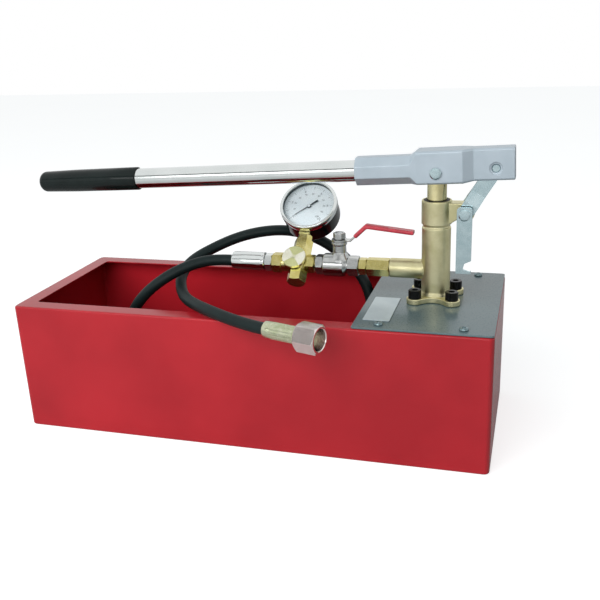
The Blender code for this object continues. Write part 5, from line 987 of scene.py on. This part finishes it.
def make_gauge(sizes):
    """Socket, case, rolled bezel, glass, printed dial and pointer."""
    port = PORT_FRAME @ facing((0, 0, 0), (0, 1, 0))
    socket = hexagon("socket_hexagon", GAUGE_SOCKET_FLATS, 0.0273, 0.0338, port)
    half = Vector((0.006, 0.006))
    stem = outlined("stem", rounded_rectangle(-half, half, EDGE), 0.0330, 0.0455, port)
    soften(stem, EDGE / 3, 50)
    socket = join("socket_brass", socket, stem)
    dress(socket, turned_brass(), "turned_brass", "pump", "gauge_socket")

    back = arc((CASE_RADIUS - CASE_BEND, CASE_BACK + CASE_BEND), CASE_BEND, -math.pi / 2, 0, 6)
    case = turned("case_shell", [
        (0, CASE_BACK), *back, (CASE_RADIUS, CASE_FRONT), (CASE_INNER, CASE_FRONT), (CASE_INNER, CASE_FLOOR),
        (0, CASE_FLOOR)], GAUGE_FRAME)
    shade(case, 40)
    dress(case, case_plastic(), "black_plastic", "pump", "gauge_case")

    bezel = turned("bezel_ring", [
        (0.0310, 0.0064), (0.0313, 0.0064), (0.0315, 0.0067), (0.0315, 0.0118), (0.0313, 0.0127),
        (0.0308, 0.0134), (0.0300, 0.0138), (0.0290, 0.0138), (0.0284, 0.0135), (0.0281, 0.0131),
        (0.0280, 0.0126), (0.0310, 0.0125)], GAUGE_FRAME, MANY_SIDES, ring=True)
    shade(bezel, 50)
    dress(bezel, chrome(), "chrome", "pump", "gauge_bezel")

    glass = turned("window_disc", [
        (0, CASE_FRONT), (CASE_RADIUS - 0.0002, CASE_FRONT), (CASE_RADIUS, CASE_FRONT + 0.0002),
        (CASE_RADIUS, CASE_FRONT + 0.0018), (CASE_RADIUS - 0.0002, CASE_FRONT + 0.0020),
        (0, CASE_FRONT + 0.0020)], GAUGE_FRAME)
    shade(glass)
    dress(glass, gauge_glass(), "window", "pump", "gauge_glass")

    dial = turned("dial_disc", [
        (0, DIAL_BACK), (DIAL_RADIUS, DIAL_BACK), (DIAL_RADIUS, DIAL_FACE - 0.0002),
        (DIAL_RADIUS - 0.0002, DIAL_FACE), (0, DIAL_FACE)], GAUGE_FRAME)
    shade(dial)
    dress(dial, white_dial(), "white_dial", "pump", "gauge_dial")

    marks = []
    printed = DIAL_FACE + DIAL_PRINT
    steps = sizes.dial_divisions * MARKS_PER_DIVISION
    for i in range(steps + 1):
        angle = GAUGE_START - GAUGE_SWEEP * i / steps
        main = i % MARKS_PER_DIVISION == 0
        inner = 0.0226 if main else 0.0240
        half = 0.0002 if main else 0.00009
        bar = [(inner, -half), (MARK_OUTER, -half), (MARK_OUTER, half), (inner, half)]
        spin = GAUGE_FRAME @ Matrix.Rotation(angle, 4, "Z")
        marks.append(outlined("mark", bar, DIAL_FACE, printed, spin))
        if main:
            number = i // MARKS_PER_DIVISION
            marks.append(dial_text(str(number * 10), 0.0030, angle, 0.0165, printed))
            if number % 2 == 0:
                marks.append(dial_text(str(number), 0.0040, angle, 0.0203, printed))
    dial_print = join("dial_print", *marks)
    dress(dial_print, dial_ink(), "black_plastic", "pump")

    blade = [(-0.0115, -0.0012), (0, -0.0006), (0.0185, -0.0002), (0.0185, 0.0002), (0, 0.0006),
             (-0.0115, 0.0012)]
    at_zero = GAUGE_FRAME @ Matrix.Rotation(GAUGE_START, 4, "Z")
    pointer = outlined("pointer_blade", blade, 0.00825, 0.00875, at_zero)
    hub = turned("pointer_hub", [
        (0, 0), (0.0008, 0), (0.0008, 0.0076), (0.0024, 0.0076), (0.0024, 0.0089), (0.0018, 0.0094),
        (0, 0.0094)], GAUGE_FRAME, FEW_SIDES)
    pointer = join("pointer_blade", pointer, hub)
    shade(pointer)
    dress(pointer, case_plastic(), "black_plastic", "pointer", "gauge_pointer")
    cap = turned("pointer_cap", [
        (0, 0.0092), (0.0017, 0.0092), (0.0017, 0.0097), (0.0014, 0.0099), (0, 0.0100)],
        GAUGE_FRAME, FEW_SIDES * 2 // 3)
    shade(cap, 40)
    dress(cap, white_dial(), "white_dial", "pointer")


# Hose

def smooth_route(points, leave, arrive):
    """Points on the smooth curve through the route's own points, with its two end directions."""
    route = np.array(points)
    spans = np.linalg.norm(np.diff(route, axis=0), axis=1)
    count = len(route)
    left = np.eye(count)
    right = np.zeros((count, 3))
    right[0] = leave
    right[-1] = arrive
    for i in range(1, count - 1):
        before = spans[i - 1]
        after = spans[i]
        left[i, i - 1:i + 2] = (after, 2 * (before + after), before)
        behind = after / before * (route[i] - route[i - 1])
        ahead = before / after * (route[i + 1] - route[i])
        right[i] = 3 * (behind + ahead)
    slopes = np.linalg.solve(left, right)
    fine = [route[0]]
    for i, span in enumerate(spans):
        for share in np.linspace(0, 1, HOSE_SPAN_STEPS + 1)[1:]:
            rise = share * share * (3 - 2 * share)
            lead = share * (1 - share) * (1 - share) * span
            trail = share * share * (share - 1) * span
            fine.append((1 - rise) * route[i] + rise * route[i + 1]
                        + lead * slopes[i] + trail * slopes[i + 1])
    return np.array(fine)


def make_hose(colours):
    """Hose on its smooth run, from the cross to its loose end."""
    fine = smooth_route(HOSE_ROUTE, (-1, 0, 0), HOSE_END_WAY)
    deselect()
    curve = bpy.data.curves.new("hose_run", "CURVE")
    curve.dimensions = "3D"
    curve.bevel_depth = HOSE_RADIUS
    curve.bevel_resolution = 6
    curve.use_fill_caps = True
    spline = curve.splines.new("POLY")
    spline.points.add(len(fine) - 1)
    for point, place in zip(spline.points, fine):
        point.co = (*place, 1)
    hose = bpy.data.objects.new("hose_run", curve)
    bpy.context.scene.collection.objects.link(hose)
    hose.data.materials.append(hose_rubber(colours))
    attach(hose, "pump")
    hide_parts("hose")
    return hose


def make_hose_fittings():
    """Nut and ferrule on the cross, and the ferrule, nipple and union nut of the loose end."""
    left = facing((0, 0, PIPE_Z), (-1, 0, 0))
    nut = hexagon("hose_nut_hexagon", HOSE_NUT_FLATS, -0.0131, -0.0051, left)
    dress(nut, chrome(), "chrome", "pump", "hose_nut")
    ferrule = turned("ferrule_sleeve", [
        (FERRULE_BORE, -0.0048), (0.0094, -0.0048), (0.0100, -0.0042), (0.0100, -0.0022), (0.0097, -0.0016),
        (0.0097, -0.0004), (0.0100, 0.0002), (0.0100, 0.0306), (0.0094, 0.0317), (FERRULE_BORE, 0.0317)],
        left, ring=True)
    shade(ferrule, 40)
    dress(ferrule, chrome(), "chrome", "pump", "hose_ferrule")

    end = facing(HOSE_ROUTE[-1], HOSE_END_WAY)
    sleeve = turned("end_sleeve", [
        (FERRULE_BORE, 0.0003), (0.0077, 0.0003), (0.0080, 0.0008), (0.0080, 0.0076), (0.00785, 0.0080),
        (0.00785, 0.0345), (0.0074, 0.0350), (0.0050, 0.0350)], end, ring=True)
    shade(sleeve, 40)
    flutes = grooved(END_FLUTE_TOP, END_FLUTE_DEPTH, (0, 0, 1, 1), END_FLUTES)
    crimped = outlined("crimped", flutes, 0.0088, 0.0338, end)
    bore = [(0, 0.008), (0.0078, 0.008), (0.0078, 0.035), (0, 0.035)]
    carve(crimped, turned("bore", bore, end, FEW_SIDES))
    shade(crimped, 20)
    sleeve = join("end_sleeve", sleeve, crimped)
    dress(sleeve, yellow_zinc(), "yellow_zinc", "pump", "end_ferrule")

    nipple = turned("end_nipple_body", [
        (0.0030, 0.0353), (0.0064, 0.0353), (0.0068, 0.0357), (0.0068, 0.0364), (0.0064, 0.0368),
        (0.0055, 0.0368), (0.0055, 0.0438), (0.0092, 0.0438), (0.0092, 0.0458), (0.0049, 0.0498),
        (0.0030, 0.0498)], end, ring=True)
    shade(nipple)
    dress(nipple, yellow_zinc(), "yellow_zinc", "pump", "end_nipple")

    union = hexagon("union_nut", UNION_FLATS, 0.0377, 0.0599, end)
    thread = []
    for i in range(UNION_THREADS):
        foot = 0.0440 + i * UNION_PITCH
        thread += [(UNION_BORE - UNION_THREAD_DEPTH, foot), (UNION_BORE, foot + UNION_PITCH * 0.5),
                   (UNION_BORE, foot + UNION_PITCH * 0.6)]
    bore = turned("bore", [
        (0, 0.0370), (0.0058, 0.0370), (0.0058, 0.0435), (UNION_BORE, 0.0435), *thread, (UNION_BORE, 0.0590),
        (0.0111, 0.0601), (0, 0.0601)], end)
    carve(union, bore)
    shade(union)
    dress(union, pale_zinc(), "zinc", "swivel", "swivel_nut")


# Pieces that stay as the CAD has them

def dress_inner():
    """Finishes of the pieces inside and under the cover, which keep their CAD form."""
    finishes = {
        turned_brass(): ("suction_seat", "pressure_seat", "release_spindle", "gauge_tube"),
        steel(): ("suction_ball", "pressure_ball", "pressure_spring", "valve_ball"),
        black_rubber(): ("plunger_seal",),
        sealing(): ("valve_seat_left", "valve_seat_right"),
        zinc(): ("backing_plate",),
        polished_brass(): ("suction_pipe", "suction_strainer"),
    }
    for material, names in finishes.items():
        for name in names:
            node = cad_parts[name]
            for spot in node.material_slots:
                spot.material = material


# Stage

def make_camera():
    """Camera where the photograph was taken from."""
    sin, cos = math.sin, math.cos
    forward = Vector((-sin(CAMERA_AZIMUTH) * cos(CAMERA_DOWN), cos(CAMERA_AZIMUTH) * cos(CAMERA_DOWN),
                      -sin(CAMERA_DOWN)))
    right = Vector((cos(CAMERA_AZIMUTH), sin(CAMERA_AZIMUTH), 0))
    up = right.cross(forward)
    side = cos(CAMERA_ROLL) * right + sin(CAMERA_ROLL) * up
    top = -sin(CAMERA_ROLL) * right + cos(CAMERA_ROLL) * up
    deselect()
    bpy.ops.object.camera_add(location=CAMERA_AT)
    camera = bpy.context.object
    camera.name = "photo_camera"
    turn = Matrix((side, top, -forward)).transposed().to_4x4()
    camera.matrix_world = Matrix.Translation(CAMERA_AT) @ turn
    camera.data.lens = CAMERA_LENS
    camera.data.sensor_width = CAMERA_SENSOR
    camera.data.clip_start = 0.01
    bpy.context.scene.camera = camera


def add_light(name, at, target, size, power, glint=False):
    """Soft light that looks at a point. It lights surfaces or, as a glint, shows only in reflections."""
    deselect()
    bpy.ops.object.light_add(type="AREA", location=at)
    light = bpy.context.object
    light.name = name
    light.data.shape = "RECTANGLE"
    light.data.size, light.data.size_y = size
    light.data.energy = power
    light.matrix_world = facing(at, Vector(at) - Vector(target))
    light.visible_glossy = glint
    light.visible_diffuse = not glint


def add_card(name, at, target, size):
    """Dark card over the camera. Only reflections show it, which gives metal and gloss darker bands."""
    deselect()
    bpy.ops.mesh.primitive_plane_add(size=1)
    card = bpy.context.object
    card.scale = (*size, 1)
    placed(card, facing(at, Vector(target) - Vector(at)))
    card.name = name
    paper = surface("card paper", "4A5854", "44514D", 0.9, patch_size=0.5, grain_size=0.002)
    card.data.materials.append(paper)
    card.visible_camera = False
    card.visible_diffuse = False
    card.visible_shadow = False


def make_floor():
    """Pale seamless floor, lifted to white for the camera and a little in reflections."""
    deselect()
    bpy.ops.mesh.primitive_plane_add(size=8, location=(0, 0, -GAP))
    floor = placed(bpy.context.object, Matrix())
    floor.name = "floor"
    paper = surface("floor paper", "C6C6C6", "C4C4C4", 0.9, patch_size=0.5, grain_size=0.002,
                    grain_height=0.000001, specular=0.0)
    floor.data.materials.append(paper)
    tree = paper.node_tree
    path = add_node(tree, "ShaderNodeLightPath", (-1000, -900))
    mirrored = add_node(tree, "ShaderNodeMath", (-850, -1000),
                        {0: path.outputs["Is Glossy Ray"], 1: path.outputs["Is Transmission Ray"]},
                        operation="MAXIMUM")
    dimmed = add_node(tree, "ShaderNodeMath", (-700, -1000),
                      {0: mirrored.outputs["Value"], 1: FLOOR_MIRRORED}, operation="MULTIPLY")
    seen = add_node(tree, "ShaderNodeMath", (-550, -900),
                    {0: path.outputs["Is Camera Ray"], 1: dimmed.outputs["Value"]}, operation="MAXIMUM")
    lift = add_node(tree, "ShaderNodeMapRange", (-400, -900),
                    {"Value": seen.outputs["Value"], "To Max": FLOOR_LIFT})
    shader = tree.nodes["Principled BSDF"]
    shader.inputs["Emission Color"].default_value = linear("FFFFFF")
    tree.links.new(lift.outputs["Result"], shader.inputs["Emission Strength"])


def make_world():
    """White to the camera and in reflections. The pump is lit by a room, brighter left and in front."""
    world = bpy.data.worlds.new("studio")
    world.use_nodes = True
    bpy.context.scene.world = world
    tree = world.node_tree
    place = add_node(tree, "ShaderNodeTexCoord", (-1400, 0))
    split = add_node(tree, "ShaderNodeSeparateXYZ", (-1200, 0), {"Vector": place.outputs["Generated"]})
    ramp = add_node(tree, "ShaderNodeValToRGB", (-1000, 100), {"Fac": split.outputs["Z"]})
    while len(ramp.color_ramp.elements) < len(ROOM_STEPS):
        ramp.color_ramp.elements.new(0.5)
    for element, (position, colour) in zip(ramp.color_ramp.elements, ROOM_STEPS):
        element.position = position
        element.color = linear(colour)
    side = add_node(tree, "ShaderNodeMapRange", (-1000, -200),
                    {"Value": split.outputs["X"], "From Min": -1.0, "To Min": 1.0, "To Max": 0.15})
    front = add_node(tree, "ShaderNodeMapRange", (-1000, -450),
                     {"Value": split.outputs["Y"], "From Min": -0.8, "From Max": 0.8, "To Min": 1.15,
                      "To Max": 0.6})
    both = add_node(tree, "ShaderNodeMath", (-800, -300),
                    {0: side.outputs["Result"], 1: front.outputs["Result"]}, operation="MULTIPLY")
    room = add_node(tree, "ShaderNodeVectorMath", (-600, 0),
                    {"Vector": ramp.outputs["Color"], "Scale": both.outputs["Value"]}, operation="SCALE")
    path = add_node(tree, "ShaderNodeLightPath", (-900, 400))
    seen = add_node(tree, "ShaderNodeMath", (-700, 400),
                    {0: path.outputs["Is Camera Ray"], 1: path.outputs["Is Glossy Ray"]},
                    operation="MAXIMUM")
    shown = add_node(tree, "ShaderNodeMath", (-550, 400),
                     {0: seen.outputs["Value"], 1: path.outputs["Is Transmission Ray"]},
                     operation="MAXIMUM")
    mix = add_node(tree, "ShaderNodeMix", (-400, 100),
                   {"Factor": shown.outputs["Value"], MIX_A: room.outputs["Vector"],
                    MIX_B: linear("FFFFFF")}, data_type="RGBA")
    tree.links.new(mix.outputs[MIX_RESULT], tree.nodes["Background"].inputs["Color"])


def make_stage():
    """Floor, surroundings and soft lights."""
    make_floor()
    make_world()
    add_light("key", at=(-0.6, -1.7, 1.2), target=(0, 0, 0.1), size=(2.2, 1.8), power=42)
    add_light("glint", at=(0, -2.2, 0.95), target=(0, 0, 0.29), size=(2.6, 0.35), power=10, glint=True)
    add_card("card", at=(0, -1.2, 1.08), target=(0, 0, 0.27), size=(4.0, 0.2))
    bpy.context.scene.view_settings.view_transform = "Standard"


# Add-on

class PumpSizes(bpy.types.PropertyGroup):
    """Sizes and counts of the pump that a user would change."""

    sheet: FloatProperty(name="Sheet Thickness", description="Thickness of the tank's sheet", unit="LENGTH",
                         default=0.0015, min=0.0008, max=0.002, precision=5)
    fold: FloatProperty(name="Fold Radius", description="Outer radius of the tank's folds", unit="LENGTH",
                        default=0.002, min=0.0016, max=0.004, precision=5)
    corner: FloatProperty(name="Corner Radius", description="Radius of the tank's upright corners",
                          unit="LENGTH", default=0.005, min=0.003, max=0.012, precision=5)
    rim: FloatProperty(name="Rim Width", description="Width of the rim that turns inwards", unit="LENGTH",
                       default=0.018, min=0.010, max=0.025, precision=5)
    tube: FloatProperty(name="Lever Tube Radius", description="Outer radius of the lever's tube",
                        unit="LENGTH", default=0.01065, min=0.009, max=0.01065, precision=5)
    grip: FloatProperty(name="Grip Radius", description="Outer radius of the lever's grip", unit="LENGTH",
                        default=0.0122, min=0.0118, max=0.015, precision=5)
    knob: FloatProperty(name="Knob Radius", description="Outer radius of the release knob", unit="LENGTH",
                        default=0.0124, min=0.010, max=0.016, precision=5)
    dial_divisions: IntProperty(name="Dial Divisions", description="Numbered divisions on the gauge's dial",
                                default=10, min=2, max=20)


class PumpColours(bpy.types.PropertyGroup):
    """Colours of the pump that a user would change."""

    enamel: FloatVectorProperty(name="Tank Enamel", description="Colour of the tank", subtype="COLOR",
                                min=0, max=1, default=linear("BC242E")[:3])
    plate: FloatVectorProperty(name="Cover Enamel", description="Colour of the cover plate", subtype="COLOR",
                               min=0, max=1, default=linear("5C7074")[:3])
    sleeve: FloatVectorProperty(name="Handle Sleeve", description="Colour of the valve handle's sleeve",
                                subtype="COLOR", min=0, max=1, default=linear("C83A48")[:3])
    grip: FloatVectorProperty(name="Lever Grip", description="Colour of the lever's grip", subtype="COLOR",
                              min=0, max=1, default=linear("17201F")[:3])
    hose: FloatVectorProperty(name="Hose", description="Colour of the hose", subtype="COLOR",
                              min=0, max=1, default=linear("101E1E")[:3])


class PUMP_OT_camera(bpy.types.Operator):
    """Add the camera that the photograph was taken with"""
    bl_idname = "pump.camera"
    bl_label = "Camera"
    bl_options = {"REGISTER", "UNDO"}

    def execute(self, context):
        make_camera()
        return {"FINISHED"}


class PUMP_OT_hose(bpy.types.Operator):
    """Add the hose and the fittings on both of its ends"""
    bl_idname = "pump.hose"
    bl_label = "Hose"
    bl_options = {"REGISTER", "UNDO"}

    def execute(self, context):
        hose = make_hose(context.scene.pump_colours)
        make_hose_fittings()
        return {"FINISHED"}


class PUMP_OT_tank(bpy.types.Operator):
    """Add the open tank"""
    bl_idname = "pump.tank"
    bl_label = "Tank"
    bl_options = {"REGISTER", "UNDO"}

    def execute(self, context):
        make_tank(context.scene.pump_sizes, context.scene.pump_colours)
        return {"FINISHED"}


class PUMP_OT_cover(bpy.types.Operator):
    """Add the cover plate, its screws and the rating plate"""
    bl_idname = "pump.cover"
    bl_label = "Cover"
    bl_options = {"REGISTER", "UNDO"}

    def execute(self, context):
        make_cover(context.scene.pump_colours)
        return {"FINISHED"}


class PUMP_OT_body(bpy.types.Operator):
    """Add the pump body, plunger, wiper and flange screws"""
    bl_idname = "pump.body"
    bl_label = "Pump Body"
    bl_options = {"REGISTER", "UNDO"}

    def execute(self, context):
        make_body()
        return {"FINISHED"}


class PUMP_OT_lever(bpy.types.Operator):
    """Add the lever's casting, tube and grip"""
    bl_idname = "pump.lever"
    bl_label = "Lever"
    bl_options = {"REGISTER", "UNDO"}

    def execute(self, context):
        make_lever(context.scene.pump_sizes, context.scene.pump_colours)
        return {"FINISHED"}


class PUMP_OT_linkage(bpy.types.Operator):
    """Add the links, hook and pins"""
    bl_idname = "pump.linkage"
    bl_label = "Linkage"
    bl_options = {"REGISTER", "UNDO"}

    def execute(self, context):
        make_linkage()
        return {"FINISHED"}


class PUMP_OT_valve(bpy.types.Operator):
    """Add the ball valve with its handle"""
    bl_idname = "pump.valve"
    bl_label = "Ball Valve"
    bl_options = {"REGISTER", "UNDO"}

    def execute(self, context):
        make_valve(context.scene.pump_colours)
        return {"FINISHED"}


class PUMP_OT_manifold(bpy.types.Operator):
    """Add the adapter, cross fitting, plug and release knob"""
    bl_idname = "pump.manifold"
    bl_label = "Cross Fitting"
    bl_options = {"REGISTER", "UNDO"}

    def execute(self, context):
        make_manifold(context.scene.pump_sizes)
        return {"FINISHED"}


class PUMP_OT_gauge(bpy.types.Operator):
    """Add the gauge"""
    bl_idname = "pump.gauge"
    bl_label = "Gauge"
    bl_options = {"REGISTER", "UNDO"}

    def execute(self, context):
        make_gauge(context.scene.pump_sizes)
        return {"FINISHED"}


class PUMP_OT_inner(bpy.types.Operator):
    """Dress the pieces that keep their CAD form"""
    bl_idname = "pump.inner"
    bl_label = "Inner Pieces"
    bl_options = {"REGISTER", "UNDO"}

    def execute(self, context):
        dress_inner()
        return {"FINISHED"}


class PUMP_OT_stage(bpy.types.Operator):
    """Add the floor, the surroundings and the lights"""
    bl_idname = "pump.stage"
    bl_label = "Stage"
    bl_options = {"REGISTER", "UNDO"}

    def execute(self, context):
        make_stage()
        return {"FINISHED"}


OPERATORS = (PUMP_OT_camera, PUMP_OT_hose, PUMP_OT_tank, PUMP_OT_cover, PUMP_OT_body, PUMP_OT_lever,
             PUMP_OT_linkage, PUMP_OT_valve, PUMP_OT_manifold, PUMP_OT_gauge, PUMP_OT_inner, PUMP_OT_stage)


class PUMP_PT_panel(bpy.types.Panel):
    """Sizes and colours of the pump, and a button for each group of pieces"""
    bl_idname = "PUMP_PT_panel"
    bl_label = "Test Pump"
    bl_space_type = "VIEW_3D"
    bl_region_type = "UI"
    bl_category = "Test Pump"

    def draw(self, context):
        for group in (context.scene.pump_sizes, context.scene.pump_colours):
            for setting in group.__annotations__:
                self.layout.prop(group, setting)
        for operator in OPERATORS:
            self.layout.operator(operator.bl_idname)


CLASSES = (PumpSizes, PumpColours, *OPERATORS, PUMP_PT_panel)


def register():
    for item in CLASSES:
        bpy.utils.register_class(item)
    bpy.types.Scene.pump_sizes = PointerProperty(type=PumpSizes)
    bpy.types.Scene.pump_colours = PointerProperty(type=PumpColours)


def unregister():
    del bpy.types.Scene.pump_colours
    del bpy.types.Scene.pump_sizes
    for item in reversed(CLASSES):
        bpy.utils.unregister_class(item)


def main():
    """Register the add-on and build the whole pump."""
    register()
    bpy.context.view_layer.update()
    for operator in OPERATORS:
        group, name = operator.bl_idname.split(".")
        getattr(getattr(bpy.ops, group), name)()
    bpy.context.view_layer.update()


if __name__ == "__main__":
    main()
